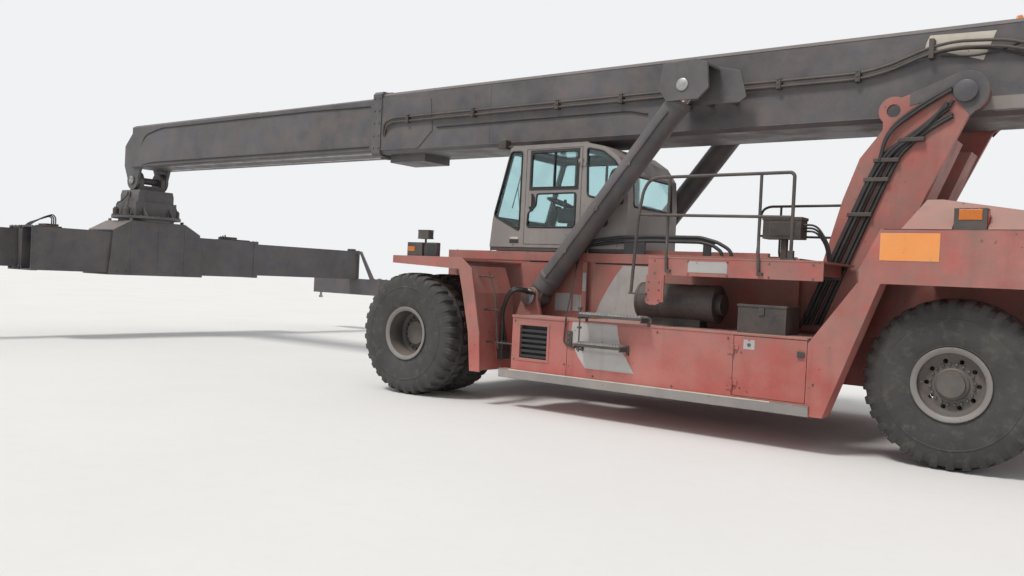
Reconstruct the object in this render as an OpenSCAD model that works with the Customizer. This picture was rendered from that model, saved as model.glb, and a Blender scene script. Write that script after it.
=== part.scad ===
// Reach stacker: a yard machine with a telescopic boom and a spreader that lifts containers by their top corners.
// Forward is +X, the machine's left side is +Y. Sizes are drawn from the front axle and then moved to the middle.

/* [Wheels] */
// Distance between the front and rear axles
wheelbase = 6500; // [6400:50:6700]
// Outside radius of every tyre
tyre_r = 809; // [790:1:820]
// Width of one tyre
tyre_w = 500; // [470:5:510]
// Radius of the tyre's seat on its rim
rim_r = 318; // [300:1:335]
// Gap between the two tyres of a front pair
twin_gap = 90; // [70:5:110]
// Outer face of the front wheels, from the middle of the machine
front_face_y = 2070; // [2050:5:2110]
// Middle of a rear wheel, from the middle of the machine
rear_wheel_y = 1350; // [1340:5:1380]
// Kingpin of a rear wheel, from the middle of the machine
kingpin_y = 950; // [940:5:960]

/* [Frame] */
// Outer face of the two main beams, from the middle of the machine
frame_y = 740; // [730:5:750]
// Width of one main beam
beam_w = 220; // [180:5:240]
// Height of the frame's underside above the ground
frame_z0 = 560; // [500:10:620]
// Height of the frame's deck above the ground
deck_z = 1980; // [1950:5:2000]
// Outer face of the side boxes, from the middle of the machine
side_y = 1850; // [1800:10:1880]
// Underside of the side boxes above the ground
side_z0 = 480; // [440:10:520]
// Top of the side boxes above the ground
side_z1 = 1150; // [1120:5:1170]
// Underside of the counterweight above the ground
weight_z0 = 1830; // [1820:5:1850]
// Rear end of the counterweight, behind the rear axle
rear_overhang = 1500; // [1400:10:1600]

/* [Boom] */
// Boom pivot ahead of the rear axle
pivot_ahead = 150; // [120:5:180]
// Boom pivot above the ground
pivot_z = 3720; // [3700:5:3760]
// Underside of the outer boom above the ground
boom_z0 = 3500; // [3490:5:3520]
// Height of the outer boom
boom_h = 980; // [940:10:1020]
// Width of the outer boom
boom_w = 940; // [900:10:960]
// Wall of both boom sections
boom_wall = 25; // [15:1:30]
// Front end of the outer boom, ahead of the front axle
boom_front = 2400; // [2300:10:2500]
// Gap between the two boom sections
boom_gap = 30; // [22:1:36]
// Hanger pin ahead of the front axle
head_x = 9730; // [9600:10:9800]
// Hanger pin below the inner boom
head_drop = 250; // [230:5:270]

/* [Lift cylinders] */
// Middle of a lift cylinder, from the middle of the machine
lift_y = 920; // [900:5:940]
// Foot pin behind the front axle
foot_back = 1310; // [1280:5:1340]
// Foot pin above the ground
foot_z = 1370; // [1350:5:1390]
// Head pin behind the front axle
top_back = 3390; // [3360:5:3420]
// Head pin above the ground
top_z = 3975; // [3960:5:3990]
// Radius of the barrel
barrel_r = 150; // [140:1:152]
// Radius of the rod
lift_rod_r = 105; // [90:1:115]

/* [Cab] */
// Width of the cab
cab_w = 1400; // [1360:10:1410]
// Underside of the cab above the ground
cab_z0 = 2040; // [2030:5:2060]
// Top of the cab above the ground
cab_z1 = 3440; // [3420:5:3450]
// Rear wall of the cab behind the front axle
cab_back = 2500; // [2450:10:2520]
// Wall of the cab and its doors
cab_wall = 40; // [30:1:50]
// Pane thickness
glass_t = 6; // [4:1:10]

/* [Spreader] */
// Underside of the spreader's main tubes above the ground
tube_z0 = 1320; // [1300:5:1340]
// Height of the main tubes
tube_h = 840; // [800:10:860]
// Width of one main tube
tube_w = 400; // [380:5:410]
// Half length of the main tubes
tube_half = 2600; // [2500:10:2650]
// Twistlocks to the middle of the spreader, drawn out
lock_y = 5992; // [5950:1:6000]
// Distance between the two twistlocks of one end
lock_pitch = 2260; // [2240:5:2280]
// Radius of a twistlock's shaft
lock_r = 32; // [28:1:36]

/* [Hidden] */
$fn = 48;

// Paint and material colours
red = [0.56, 0.20, 0.18];
slate = [0.16, 0.17, 0.20];
cab_grey = [0.42, 0.42, 0.44];
black = [0.06, 0.06, 0.07];
steel = [0.62, 0.63, 0.65];
rubber = [0.12, 0.12, 0.13];
pane = [0.35, 0.60, 0.62, 0.5];
orange = [0.9, 0.45, 0.1];

// Clearances
run = 0.05;      // a pin in its running bore, on the radius
gap = 10;        // a moving part beside a fixed one
seat = 0.3;      // a round part beside what carries it

// Places along the machine, from the front axle
rear_x = -wheelbase;
pivot_x = rear_x + pivot_ahead;
weight_end = rear_x - rear_overhang;
foot_x = -foot_back;
top_x = -top_back;
beam_front = 420;
beam_end = rear_x + 1740;
axle_z = tyre_r;
beam_y0 = frame_y - beam_w;
rail_h = 120;

// Boom sections
boom_y = boom_w / 2;
boom_top = boom_z0 + boom_h;
boom_tail = pivot_x - 950;
inner_y = boom_y - boom_wall - boom_gap;
inner_z0 = boom_z0 + boom_wall + boom_gap;
inner_z1 = boom_top - boom_wall - boom_gap;
inner_tail = boom_front - 1450;
inner_end = head_x - 30;
head_z = inner_z0 - head_drop;
pivot_r = 90;
bevel = 45;
doubler = 18;
pad_y = 220;
boss_r = 210;
tower_y1 = 720;
tower_t = 60;
pivot_half = tower_y1 + 40;

// Spreader
carriage_half = 1000;
carriage_foot = 1090;
hood_half = 620;
hood_h = 210;
plate_t = 30;
tube_mid = tube_w / 2 + 60;
tube_top = tube_z0 + tube_h;
carriage_x = tube_mid + tube_w / 2 + gap + plate_t;
roof_z = tube_top + gap + 12;
shoulder_z = roof_z + plate_t - 2;
ring_z = shoulder_z + hood_h;
arm_gap = 30;
arm_w = tube_w - 2 * arm_gap - 40;
arm_h = tube_h - 2 * arm_gap - 40;
arm_z0 = tube_z0 + arm_gap + 20;
end_w = 340;
end_half = lock_pitch / 2 + 150;
end_z0 = 960;
end_h = 420;

// Overall length, which places the origin in the middle
front_most = head_x + end_half;
tow_out = 120;
mid_x = (front_most + weight_end - tow_out) / 2;

module at_row() translate([-mid_x, 0, 0]) children();
module both() { children(); mirror([0, 1, 0]) children(); }
module box(x0, x1, y0, y1, z0, z1) translate([x0, y0, z0]) cube([x1 - x0, y1 - y0, z1 - z0]);
// A side view outline in X and Z, from y0 to y1
module side_plate(points, y0, y1) translate([0, y1, 0]) rotate([90, 0, 0]) linear_extrude(y1 - y0) polygon(points);
module pin_y(x, z, r, y0, y1) translate([x, y1, z]) rotate([90, 0, 0]) cylinder(r = r, h = y1 - y0);
module pin_x(y, z, r, x0, x1) translate([x0, y, z]) rotate([0, 90, 0]) cylinder(r = r, h = x1 - x0);
module pin_z(x, y, r, z0, z1) translate([x, y, z0]) cylinder(r = r, h = z1 - z0);
// Points given from the rear axle
function from_rear(points) = [for (p = points) [rear_x + p[0], p[1]]];
// A box section along X with bevelled corners, from x0 to x1
module bevelled(x0, x1, y, z0, z1, bevel) translate([x0, 0, 0]) rotate([90, 0, 90]) linear_extrude(x1 - x0)
    polygon([[-y, z0 + bevel], [-y + bevel, z0], [y - bevel, z0], [y, z0 + bevel],
        [y, z1 - bevel], [y - bevel, z1], [-y + bevel, z1], [-y, z1 - bevel]]);
// An upright hinge: the fixed half is an ear with a bore, the moving half a knuckle with the pin below it
hinge_r = 9;
knuckle_r = 16;
knuckle_h = 50;
strap = 60;
strap_t = 10;
module hinge_ear(x, y, z, lead) difference() {
    union() {
        pin_z(x, y + knuckle_r, knuckle_r, z, z + knuckle_h);
        box(min(x, x - lead * strap), max(x, x - lead * strap), y, y + strap_t, z, z + knuckle_h);
    }
    pin_z(x, y + knuckle_r, hinge_r + run, z - 1, z + knuckle_h + 1);
}
module hinge_leaf(x, y, z, lead) {
    pin_z(x, y + knuckle_r, knuckle_r, z + knuckle_h + seat, z + 2 * knuckle_h);
    pin_z(x, y + knuckle_r, hinge_r, z, z + 2 * knuckle_h);
    box(min(x, x + lead * strap), max(x, x + lead * strap), y, y + strap_t, z + knuckle_h + seat, z + 2 * knuckle_h);
}
// A round bar from point a to point b
module bar(a, b, r) {
    d = b - a;
    l = norm(d);
    translate(a) rotate([0, acos(d[2] / l), atan2(d[1], d[0])]) cylinder(r = r, h = l, $fn = 20);
}
// A bent tube or hose along points, as one eight-sided skin with mitred corners
function unit(v) = v / norm(v);
function way_in(p, i) = unit(i > 0 ? p[i] - p[i - 1] : p[1] - p[0]);
function way_out(p, i) = unit(i < len(p) - 1 ? p[i + 1] - p[i] : p[i] - p[i - 1]);
function ring(p, i, r) = let (
        t = unit(way_in(p, i) + way_out(p, i)),
        side = unit(cross(t, [0, 1, 0])),
        up = cross(t, side),
        mitre = 1 / (way_out(p, i) * t))
    [for (a = [22.5:45:359]) p[i] + r * (mitre * cos(a) * side + sin(a) * up)];
module swept(p, r) {
    n = len(p);
    polyhedron([for (i = [0:n - 1]) each ring(p, i, r)], concat(
        [[for (j = [0:7]) j]],
        [for (i = [0:n - 2], j = [0:7]) let (a = 8 * i + j, b = 8 * i + (j + 1) % 8) [a, a + 8, b]],
        [for (i = [0:n - 2], j = [0:7]) let (a = 8 * i + j, b = 8 * i + (j + 1) % 8) [b, a + 8, b + 8]],
        [[for (j = [7:-1:0]) 8 * (n - 1) + j]]));
}

// Main frame: two deep box beams, cross members, and a narrow tail between the steered wheels
cross_x = [-700, -2500, beam_end + 1260, beam_end + 460];
cross_w = 180;
outrigger_x = [-2900, beam_end + 460];
louvre_outrigger_x = -1700;
outrigger_t = 30;
rail_out = 12;
deck_t = 20;
tail_y = 380;
tail_wall = 40;
tail_back = rear_x - 1000;
tail_wide = tower_y1 - tower_t - seat;
neck_x = rear_x + 1100;
tail_z0 = 1150;
arch_z = axle_z + 230;
module beam_outline() polygon([
    [beam_front, arch_z], [beam_front, deck_z - rail_h], [beam_end, deck_z - rail_h], [beam_end, tail_z0 - 260],
    [beam_end + 420, frame_z0], [-560, frame_z0], [-430, arch_z]]);
module chassis_frame() color(red) at_row() {
    both() {
        translate([0, frame_y, 0]) rotate([90, 0, 0]) linear_extrude(beam_w) beam_outline();
        // the top rail stands a little proud of the beam
        box(beam_end, beam_front, beam_y0, frame_y + rail_out, deck_z - rail_h, deck_z - deck_t);
        foot_bracket();
        // side outriggers that carry the boxes
        for (x = outrigger_x) outrigger(x, box_y0);
        outrigger(louvre_outrigger_x, louvre_y0);
    }
    // cross members
    for (x = cross_x)
        box(x - cross_w / 2, x + cross_w / 2, -beam_y0, beam_y0, frame_z0 + 20, engine_z0 - seat);
    box(beam_front - 120, beam_front, -beam_y0, beam_y0, arch_z, 1600);
    // tail
    difference() {
        union() {
            box(neck_x, beam_end + 40, -tail_wide, tail_wide, tail_z0, weight_z0);
            box(tail_back, neck_x, -tail_y, tail_y, tail_z0, weight_z0);
        }
        box(tail_back + tail_wall, beam_end, -tail_y + tail_wall, tail_y - tail_wall,
            tail_z0 + tail_wall, weight_z0 - tail_wall);
    }
}
module outrigger(x, y1) box(x - outrigger_t / 2, x + outrigger_t / 2, frame_y, y1, side_z0 + 120, side_z1 - 60);
// Two cheeks and a pin for a lift cylinder's foot
foot_pin_r = 70;
foot_eye = 110;
foot_cheek = lift_y + foot_eye + gap;
foot_out = foot_cheek + 50;
foot_span = [foot_x - 260, foot_x + 300];
foot_base = foot_z - 480;
foot_boss_r = 130;
module foot_bracket() {
    side_plate([[foot_span[0], foot_base], [foot_span[1], foot_base], [foot_x + foot_boss_r - 5, foot_z - 20],
        [foot_x - foot_boss_r + 5, foot_z - 20]], foot_cheek, foot_out);
    pin_y(foot_x, foot_z, foot_boss_r, foot_cheek, foot_out);
    box(foot_span[0], foot_span[1], frame_y, foot_out, foot_base, foot_base + 60);
    pin_y(foot_x, foot_z, foot_pin_r, frame_y, foot_out);
}

// Boom tower: two leaning box columns, with the ears and the pin of the boom's pivot
column_in = 260;
column_t = 40;
column_top = 3250;
front_top = column_top - 170;
tower_front = [[1700, 1180], [1320, 2630], [1160, 3080], [940, 3370], [940, 3600], [800, 3690]];
tower_back = [[480, 2670], [810, weight_z0], [1080, 1180]];
lug_r = 150;
foot_top = weight_z0 + seat;
lip_z = weight_z0 - 110;
lug = [rear_x + 840, 3570];
module tower_outline() {
    difference() {
        union() {
            polygon(concat(from_rear(tower_front),
                [[pivot_x + 60, pivot_z + 190], [pivot_x - 130, pivot_z + 100], [pivot_x - 60, pivot_z - 190]],
                from_rear(tower_back)));
            translate(lug) circle(r = lug_r);
            translate([pivot_x, pivot_z]) circle(r = boss_r);
        }
        translate(lug) circle(r = lug_r - 80);
    }
}
module boom_tower() color(red) at_row() {
    both() {
        translate([0, tower_y1, 0]) rotate([90, 0, 0]) linear_extrude(tower_t) tower_outline();
        // rear flange, front web and inner wall of each column, clear of the boom's swing
        leaning_web([277, column_top], [840, foot_top]);
        leaning_web([1140, front_top], [1524, foot_top]);
        side_plate(from_rear([[277, column_top], [940, column_top], [1100, front_top], [1484, foot_top],
            [840, foot_top]]), column_in, column_in + column_t);
    }
    // cross web between the columns
    side_plate(from_rear([[600, 2900], [640, 2900], [940, 2100], [900, 2100]]), -column_in, column_in);
    pin_y(pivot_x, pivot_z, pivot_r, -pivot_half, pivot_half);
}
// A web from its upper to its lower front edge, across one column
module leaning_web(high, low)
    side_plate(from_rear([high - [column_t, 0], high, low, low - [column_t, 0]]), column_in, tower_y1 - tower_t);

// Counterweight: a cast block round the tower's foot, with an upper tier that falls away to the rear
tier_z = 2240;
tier_top = 2560;
rear_lamp_x = [rear_x - 270, rear_x];
rear_lamp_y = [side_y - 150, side_y - 10];
chamfer_y = side_y - 420;
bay_y = tower_y1 + 45;
skirt_x = rear_x - 1090;
skirt_z0 = 820;
jaw_z = [1150, 1290];
jaw_t = 40;
tow_r = 32;
module counterweight() color(red) at_row() difference() {
    union() {
        side_plate([[rear_x + 810, weight_z0], [rear_x + 620, tier_z], [weight_end, tier_z - 60],
            [weight_end, weight_z0]], -side_y, side_y);
        intersection() {
            side_plate([[rear_x + 440, tier_z - 1], [rear_x + 310, tier_top - 10], [rear_x + 170, tier_top - 10],
                [weight_end, tier_z + 20],
                [weight_end, tier_z - 70]], -side_y, side_y);
            rotate([90, 0, 90]) translate([0, 0, weight_end]) linear_extrude(4000) polygon([
                [-side_y, weight_z0], [side_y, weight_z0], [side_y, tier_z], [chamfer_y, tier_top],
                [-chamfer_y, tier_top], [-side_y, tier_z]]);
        }
        // block behind the steered wheels
        side_plate([[skirt_x, skirt_z0], [skirt_x, weight_z0], [weight_end, weight_z0], [weight_end, skirt_z0 + 80],
            [weight_end + 80, skirt_z0]], -side_y + 200, side_y - 200);
        // lip over the wheels
        both() box(rear_x - 1000, rear_x + 800, side_y - 60, side_y, lip_z, weight_z0);
        // tow jaw
        for (z = jaw_z) box(weight_end - tow_out, weight_end, -110, 110, z, z + jaw_t);
    }
    // bay for the tower and the boom's tail
    box(rear_x + 440, rear_x + 1500, -bay_y, bay_y, weight_z0 - 1, tier_top + 1);
    // recesses for the rear lamps
    both() box(rear_lamp_x[0] - gap, rear_lamp_x[1] + gap, rear_lamp_y[0] - gap, side_y + 1, tier_z, tier_top);
    // hole for the tow pin
    pin_z(weight_end - tow_out / 2, 0, tow_r, jaw_z[0] - 1, jaw_z[1] + jaw_t + 1);
}

// Side boxes: battery and tank boxes under the catwalks, with a louvre at the front and a sill under all
louvre_x = [-2430, -1620];
louvre_y0 = 1260;
grille_x = [louvre_x[0] + 290, louvre_x[1] - 120];
grille_y = side_y - 60;
slats = 6;
slat_step = 62;
slat_t = 12;
sill_x1 = -1450;
sill_z0 = side_z0 - 100;
tank_x0 = rear_x + 1250;
locker_x = [tank_x0, tank_x0 + 770];
box_y0 = frame_y + 110;
locker_hinge_z = [side_z0 + 80, side_z1 - 220];
module side_box(x0, x1, z1) box(x0, x1, box_y0, side_y, side_z0, z1);
module side_boxes() color(red) at_row() both() {
    difference() {
        union() {
            side_box(tank_x0, louvre_x[0], side_z1);
            // the front box leaves room for the lift cylinder's foot
            box(louvre_x[0], louvre_x[1], louvre_y0, side_y, side_z0, side_z1);
        }
        // locker behind its door
        box(locker_x[0] + 40, locker_x[1] - 40, box_y0 + 300, side_y + 1, side_z0 + 60, side_z1 - 60);
        // door seat
        box(locker_x[0], locker_x[1], side_y - 24, side_y + 1, side_z0 + 20, side_z1 - 20);
        // louvre recess
        box(grille_x[0], grille_x[1], grille_y, side_y + 1, side_z0 + 160, side_z1 - 110);
    }
    for (i = [0:slats - 1]) let (z = side_z0 + 190 + slat_step * i)
        box(grille_x[0], grille_x[1], grille_y, side_y - slat_t, z, z + slat_t);
    for (z = locker_hinge_z) hinge_ear(locker_x[1], side_y, z, -1);
    // sill
    box(tank_x0 - 40, sill_x1, side_y - 120, side_y + 20, sill_z0, side_z0);
    // front post of the rear wheel arch
    side_plate([[tank_x0, sill_z0], [tank_x0 - 170, sill_z0], [rear_x + 600, lip_z - seat],
        [rear_x + 810, lip_z - seat], [tank_x0, side_z0 + 620]], side_y - 240, side_y);
}

// Front mudguards: a leaning post behind the wheel with its flap, and an arm over it with a top plate
mud_z0 = 420;
mud_y = front_face_y - 70;
mud_t = 20;
mud_front = 310;
arm_top = 1840;
arm_outline = [[-1260, mud_z0], [-1100, mud_z0], [-1050, 900], [-930, 1400], [-850, 1690], [mud_front, arm_top - 100],
    [mud_front, arm_top], [-880, arm_top], [-1060, 1700], [-1230, 900]];
flap_rear = [[-1160, mud_z0], [-1040, 1400], [-900, 1740]];
mud_top = 1800;
module mudguards() color(red) at_row() both() {
    side_plate(arm_outline, mud_y, mud_y + mud_t);
    side_plate(concat(flap_rear, [for (i = [2:-1:0]) flap_rear[i] + [mud_t, 0]]), foot_out + mud_t, mud_y);
    box(-890, mud_front - 10, frame_y + seat, mud_y, mud_top, mud_top + mud_t);
    // block of the lift foot's hoses
    side_plate([[block_x, block_z[0]], [flap_x(block_z[0]) + 5, block_z[0]], [flap_x(block_z[1]) + 5, block_z[1]],
        [block_x, block_z[1]]], block_y[0], block_y[1]);
}
block_x = -1240;
block_y = [1370, 1540];
block_z = [560, 750];
// Rear face of the flap at height z
function flap_x(z) = z < flap_rear[1][1]
    ? along(flap_rear[0], flap_rear[1], z)
    : along(flap_rear[1], flap_rear[2], z);
function along(a, b, z) = a[0] + (b[0] - a[0]) * (z - a[1]) / (b[1] - a[1]);

// Deck plate with the engine's hatch, the rails the cab slides on, and the two catwalks
walk_x = [rear_x + 1150, beam_end + 1340];
walk_y = 1800;
walk_z = deck_z - 60;
walk_t = 20;
fascia_h = 200;
corner_drop = 300;
bearer_x = [walk_x[1] - 60, walk_x[0] + 1000, walk_x[0] + 150];
bearer_w = 40;
hose_slot = [rear_x + 1290, rear_x + 1480];
hood_x = [beam_end + 310, beam_end + 1360];
hood_y = 425;
slit = 6;
cab_rail_x = [beam_end + 460, -280];
cab_rail_y = 440;
cab_rail_w = 80;
module deck() color(red) at_row() {
    difference() {
        box(beam_end, beam_front, -frame_y - rail_out, frame_y + rail_out, deck_z - deck_t, deck_z);
        box(hood_x[0] - slit, hood_x[1] + slit, -hood_y - slit, hood_y + slit, deck_z - deck_t - 1, deck_z + 1);
    }
    for (y = hatch_hinge_y) hatch_ear(y);
    both() {
        box(cab_rail_x[0], cab_rail_x[1], cab_rail_y, cab_rail_y + cab_rail_w, deck_z, cab_z0 - seat);
        difference() {
            box(walk_x[0], walk_x[1], frame_y + rail_out, walk_y, walk_z - walk_t, walk_z);
            box(hose_slot[0], hose_slot[1], frame_y, frame_y + 30, walk_z - walk_t - 1, walk_z + 1);
        }
        box(walk_x[0], walk_x[1], walk_y - walk_t, walk_y, walk_z - fascia_h, walk_z - walk_t);
        // the front corner of the catwalk hangs down beside the steps
        box(walk_x[1] - 200, walk_x[1] + 20, walk_y - walk_t, walk_y, walk_z - fascia_h - corner_drop, walk_z - fascia_h);
        for (x = bearer_x) {
            box(x - bearer_w / 2, x + bearer_w / 2, frame_y + rail_out, walk_y - walk_t, walk_z - 140, walk_z - walk_t);
            box(x - bearer_w / 2, x + bearer_w / 2, frame_y, frame_y + rail_out, walk_z - 140, deck_z - rail_h);
        }
    }
}

// Fixed half of the engine hatch's hinge, its pin along Y
hatch_hinge_y = [-350, 250];
hatch_z = deck_z + knuckle_r;
module hatch_ear(y) difference() {
    union() {
        pin_y(hood_x[0], hatch_z, knuckle_r - 1, y, y + knuckle_h);
        box(hood_x[0] - strap, hood_x[0], y, y + knuckle_h, deck_z, deck_z + strap_t);
    }
    pin_y(hood_x[0], hatch_z, hinge_r + run, y - 1, y + knuckle_h + 1);
}

// Railings: bent tubes along the catwalks, with a grab rail down to the steps
rail_y = 1750;
rail_top = 2815;
rail_mid = 2375;
rail_r = 18;
post_x = [walk_x[1] - 190, walk_x[0] + 695];
rail_end = walk_x[0] + 350;
rail_bend = 30;
grab_y = walk_y + rail_r;
grab_x = [walk_x[1] + 10, walk_x[1] + 145, walk_x[1] + 120, walk_x[1] + 70, walk_x[1] - 20];
grab_z = [1400, 2360, 2660, 2760, rail_top - 10];
module railings() color(black) at_row() both() {
    swept(concat([for (i = [0:4]) [grab_x[i], i < 2 ? grab_y : i < 3 ? rail_y + 20 : rail_y, grab_z[i]]],
        [[rail_end + rail_bend, rail_y, rail_top], [rail_end, rail_y, rail_top - rail_bend],
        [rail_end, rail_y, walk_z]]), rail_r);
    for (x = post_x) bar([x, rail_y, walk_z], [x, rail_y, rail_top - 20], rail_r - 2);
    bar([grab_x[1] - 15, rail_y + 50, rail_mid + 15], [rail_end + 15, rail_y, rail_mid - 15], rail_r - 4);
}

// Steps: two toothed treads on the side, and a short ladder behind the front wheel
upper_tread = [-3500, -2680];
lower_tread = [-3250, -2640];
upper_z = 1220;
lower_z = 880;
tread_y = 2050;
tread_t = 20;
step_rod_x = -2700;
rung_z = [780, 1190, 1610];
rung_y = [1700, 1740];
string_x = [-1340, -1320];
module steps() color(black) at_row() both() {
    tread(upper_tread, upper_z);
    tread(lower_tread, lower_z);
    bar([step_rod_x, tread_y - 20, lower_z - 60], [step_rod_x, tread_y - 20, upper_z + 80], 14);
    // ladder: three rungs, held by the louvre box and ending just behind the flap
    for (z = rung_z) box(string_x[0], flap_x(z - 10) - 1, rung_y[0], rung_y[1], z - 10, z + 10);
    box(string_x[0], string_x[1], rung_y[0], rung_y[1], rung_z[0] - 80, rung_z[2] + 90);
    box(louvre_x[1] + seat, string_x[0], rung_y[0], rung_y[1], rung_z[0] - 10, rung_z[0] + 20);
}
module tread(x, z) {
    box(x[0], x[1], side_y + seat, tread_y, z, z + tread_t);
    box(x[0], x[1], tread_y - tread_t, tread_y, z - 40, z);
    for (e = [x[0], x[1] - tread_t]) box(e, e + tread_t, side_y + seat, tread_y - tread_t, z - 100, z);
}

// Engine as one block in its bay, and the gearbox and shafts
engine_len = 1260;
engine_x = [beam_end + 200, beam_end + 200 + engine_len];
engine_z0 = frame_z0 + 150;
engine_y = 430;
engine_z1 = 1780;
gearbox_x1 = engine_x[1] + 680;
gearbox_y = 330;
shaft_r = 70;
bowl_r = 330;
module engine() color(slate) at_row() box(engine_x[0], engine_x[1], -engine_y, engine_y, engine_z0, engine_z1);
module driveline() color(slate) at_row() {
    box(engine_x[1] + seat, gearbox_x1, -gearbox_y, gearbox_y, engine_z0 + 20, engine_z1 - bowl_r);
    pin_x(0, axle_z, shaft_r, gearbox_x1, -bowl_r);
}

// Front drive axle: a fixed housing with its gear bowl, brackets under the frame and the wheel spindles
spindle_r = 120;
front_hub_y = 990;
tube_r = 200;
module front_axle() color(slate) at_row() {
    both() {
        pin_y(0, axle_z, tube_r, 0, front_hub_y - 40);
        pin_y(0, axle_z, spindle_r, front_hub_y - 40, outer_tyre_y - 100);
        box(-300, 300, beam_y0, frame_y, axle_z + 150, arch_z);
        pin_y(0, axle_z, 300, front_hub_y - 100, front_hub_y - 20);
    }
    translate([0, 0, axle_z]) rotate([0, 90, 0]) {
        translate([0, 0, -bowl_r]) cylinder(r1 = 160, r2 = bowl_r, h = 200);
        translate([0, 0, -130]) cylinder(r = bowl_r, h = 260);
        translate([0, 0, 130]) cylinder(r1 = bowl_r, r2 = tube_r, h = 120);
    }
}

// Steering axle: a box beam hung from the frame's tail, with kingpins and the steering cylinder
king_r = 45;
king_boss_r = 110;
king_half = 130;
axle_arm = 330;
steer_beam_y = 620;
steer_x = rear_x - 260;
steer_z = axle_z + 20;
steer_half = 290;
steer_rod_r = 40;
steer_rod_half = 560;
module steer_axle() color(slate) at_row() difference() {
    union() {
        box(rear_x - 170, rear_x + 170, -steer_beam_y, steer_beam_y, axle_z - 180, axle_z + 180);
        both() box(rear_x - 120, rear_x + 120, steer_beam_y, kingpin_y, axle_z - king_half, axle_z + king_half);
        both() pin_z(rear_x, kingpin_y, king_boss_r, axle_z - king_half, axle_z + king_half);
        box(rear_x - 230, rear_x + 230, -200, 200, axle_z + 180, tail_z0);
        // steering cylinder
        pin_y(steer_x, steer_z, 90, -steer_half, steer_half);
        box(steer_x, rear_x - 160, -90, 90, axle_z - 60, axle_z + 100);
    }
    both() pin_z(rear_x, kingpin_y, king_r + run, axle_z - king_half - 1, axle_z + king_half + 1);
    pin_y(steer_x, steer_z, steer_rod_r + run, -steer_half - 1, steer_half + 1);
}

// Steered knuckle: two yokes with the kingpin, the wheel's spindle and the steering arm
yoke_at = 165;
yoke_half = 30;
yoke_out = kingpin_y + 190;
knuckle_half = yoke_at + yoke_half;
rear_spindle_r = spindle_r - 30;
module knuckle() {
    pin_z(rear_x, kingpin_y, king_r, axle_z - knuckle_half + 5, axle_z + knuckle_half - 5);
    for (s = [-1, 1]) translate([0, 0, axle_z + s * yoke_at]) {
        pin_z(rear_x, kingpin_y, 100, -yoke_half, yoke_half);
        box(rear_x - 90, rear_x + 90, kingpin_y, yoke_out, -yoke_half, yoke_half);
    }
    box(rear_x - 90, rear_x + 90, yoke_out - 60, yoke_out, axle_z - knuckle_half, axle_z + knuckle_half);
    pin_y(rear_x, axle_z, rear_spindle_r, yoke_out, rear_wheel_y + 90);
    // steering arm
    box(rear_x - axle_arm, rear_x, kingpin_y - 60, kingpin_y + 20, axle_z - knuckle_half, axle_z - knuckle_half + 50);
}
module knuckle_left() color(slate) at_row() knuckle();
module knuckle_right() color(slate) at_row() mirror([0, 1, 0]) knuckle();
module steer_rod() color(steel) at_row() {
    pin_y(steer_x, steer_z, steer_rod_r, -steer_rod_half, steer_rod_half);
    both() box(rear_x - axle_arm, steer_x + 20, steer_rod_half, kingpin_y - 40, axle_z - 110, axle_z + 60);
}

// A tyre as a ring with round shoulders and grooves round the tread, about the Y axis, its middle at y
module tyre(x, y) translate([x, y, axle_z]) rotate([90, 0, 0]) rotate_extrude($fn = 72) difference() {
    polygon(concat(
        [[rim_r, -tyre_w * 0.36], [rim_r + 40, -tyre_w * 0.44]],
        [for (a = [0:20:60]) [tyre_r - 190 + 130 * sin(a), -tyre_w / 2 + 90 * (1 - cos(a))]],
        [[tyre_r, -tyre_w / 2 + 90], [tyre_r, tyre_w / 2 - 90]],
        [for (a = [60:-20:0]) [tyre_r - 190 + 130 * sin(a), tyre_w / 2 - 90 * (1 - cos(a))]],
        [[rim_r + 40, tyre_w * 0.44], [rim_r, tyre_w * 0.36]]));
    for (y = [-1, 1]) translate([tyre_r - 18, y * 55 - 12]) square([30, 24]);
}
// A rim about the Y axis: a barrel with two flanges and a dished disc, depth inside the outer edge, on a hub of hub_r
module rim(x, y, depth, hub_r) translate([x, y, axle_z]) rotate([-90, 0, 0]) difference() {
    rotate_extrude($fn = 72) polygon([
        [rim_r - 22, -tyre_w * 0.42], [rim_r + 36, -tyre_w * 0.46], [rim_r + 36, -tyre_w * 0.445],
        [rim_r - seat, -tyre_w * 0.40], [rim_r - seat, tyre_w * 0.40], [rim_r + 36, tyre_w * 0.445],
        [rim_r + 36, tyre_w * 0.46], [rim_r - 22, tyre_w * 0.42], [rim_r - 22, tyre_w * 0.42 - depth],
        [250, tyre_w * 0.42 - depth - 20], [hub_r, tyre_w * 0.42 - depth - 10],
        [hub_r, tyre_w * 0.42 - depth - 50], [250, tyre_w * 0.42 - depth - 60],
        [rim_r - 22, tyre_w * 0.42 - depth - 40]]);
    for (i = [0:9]) rotate(36 * i) translate([225, 0, 0]) cylinder(r = 22, h = tyre_w, $fn = 24);
}
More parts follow.
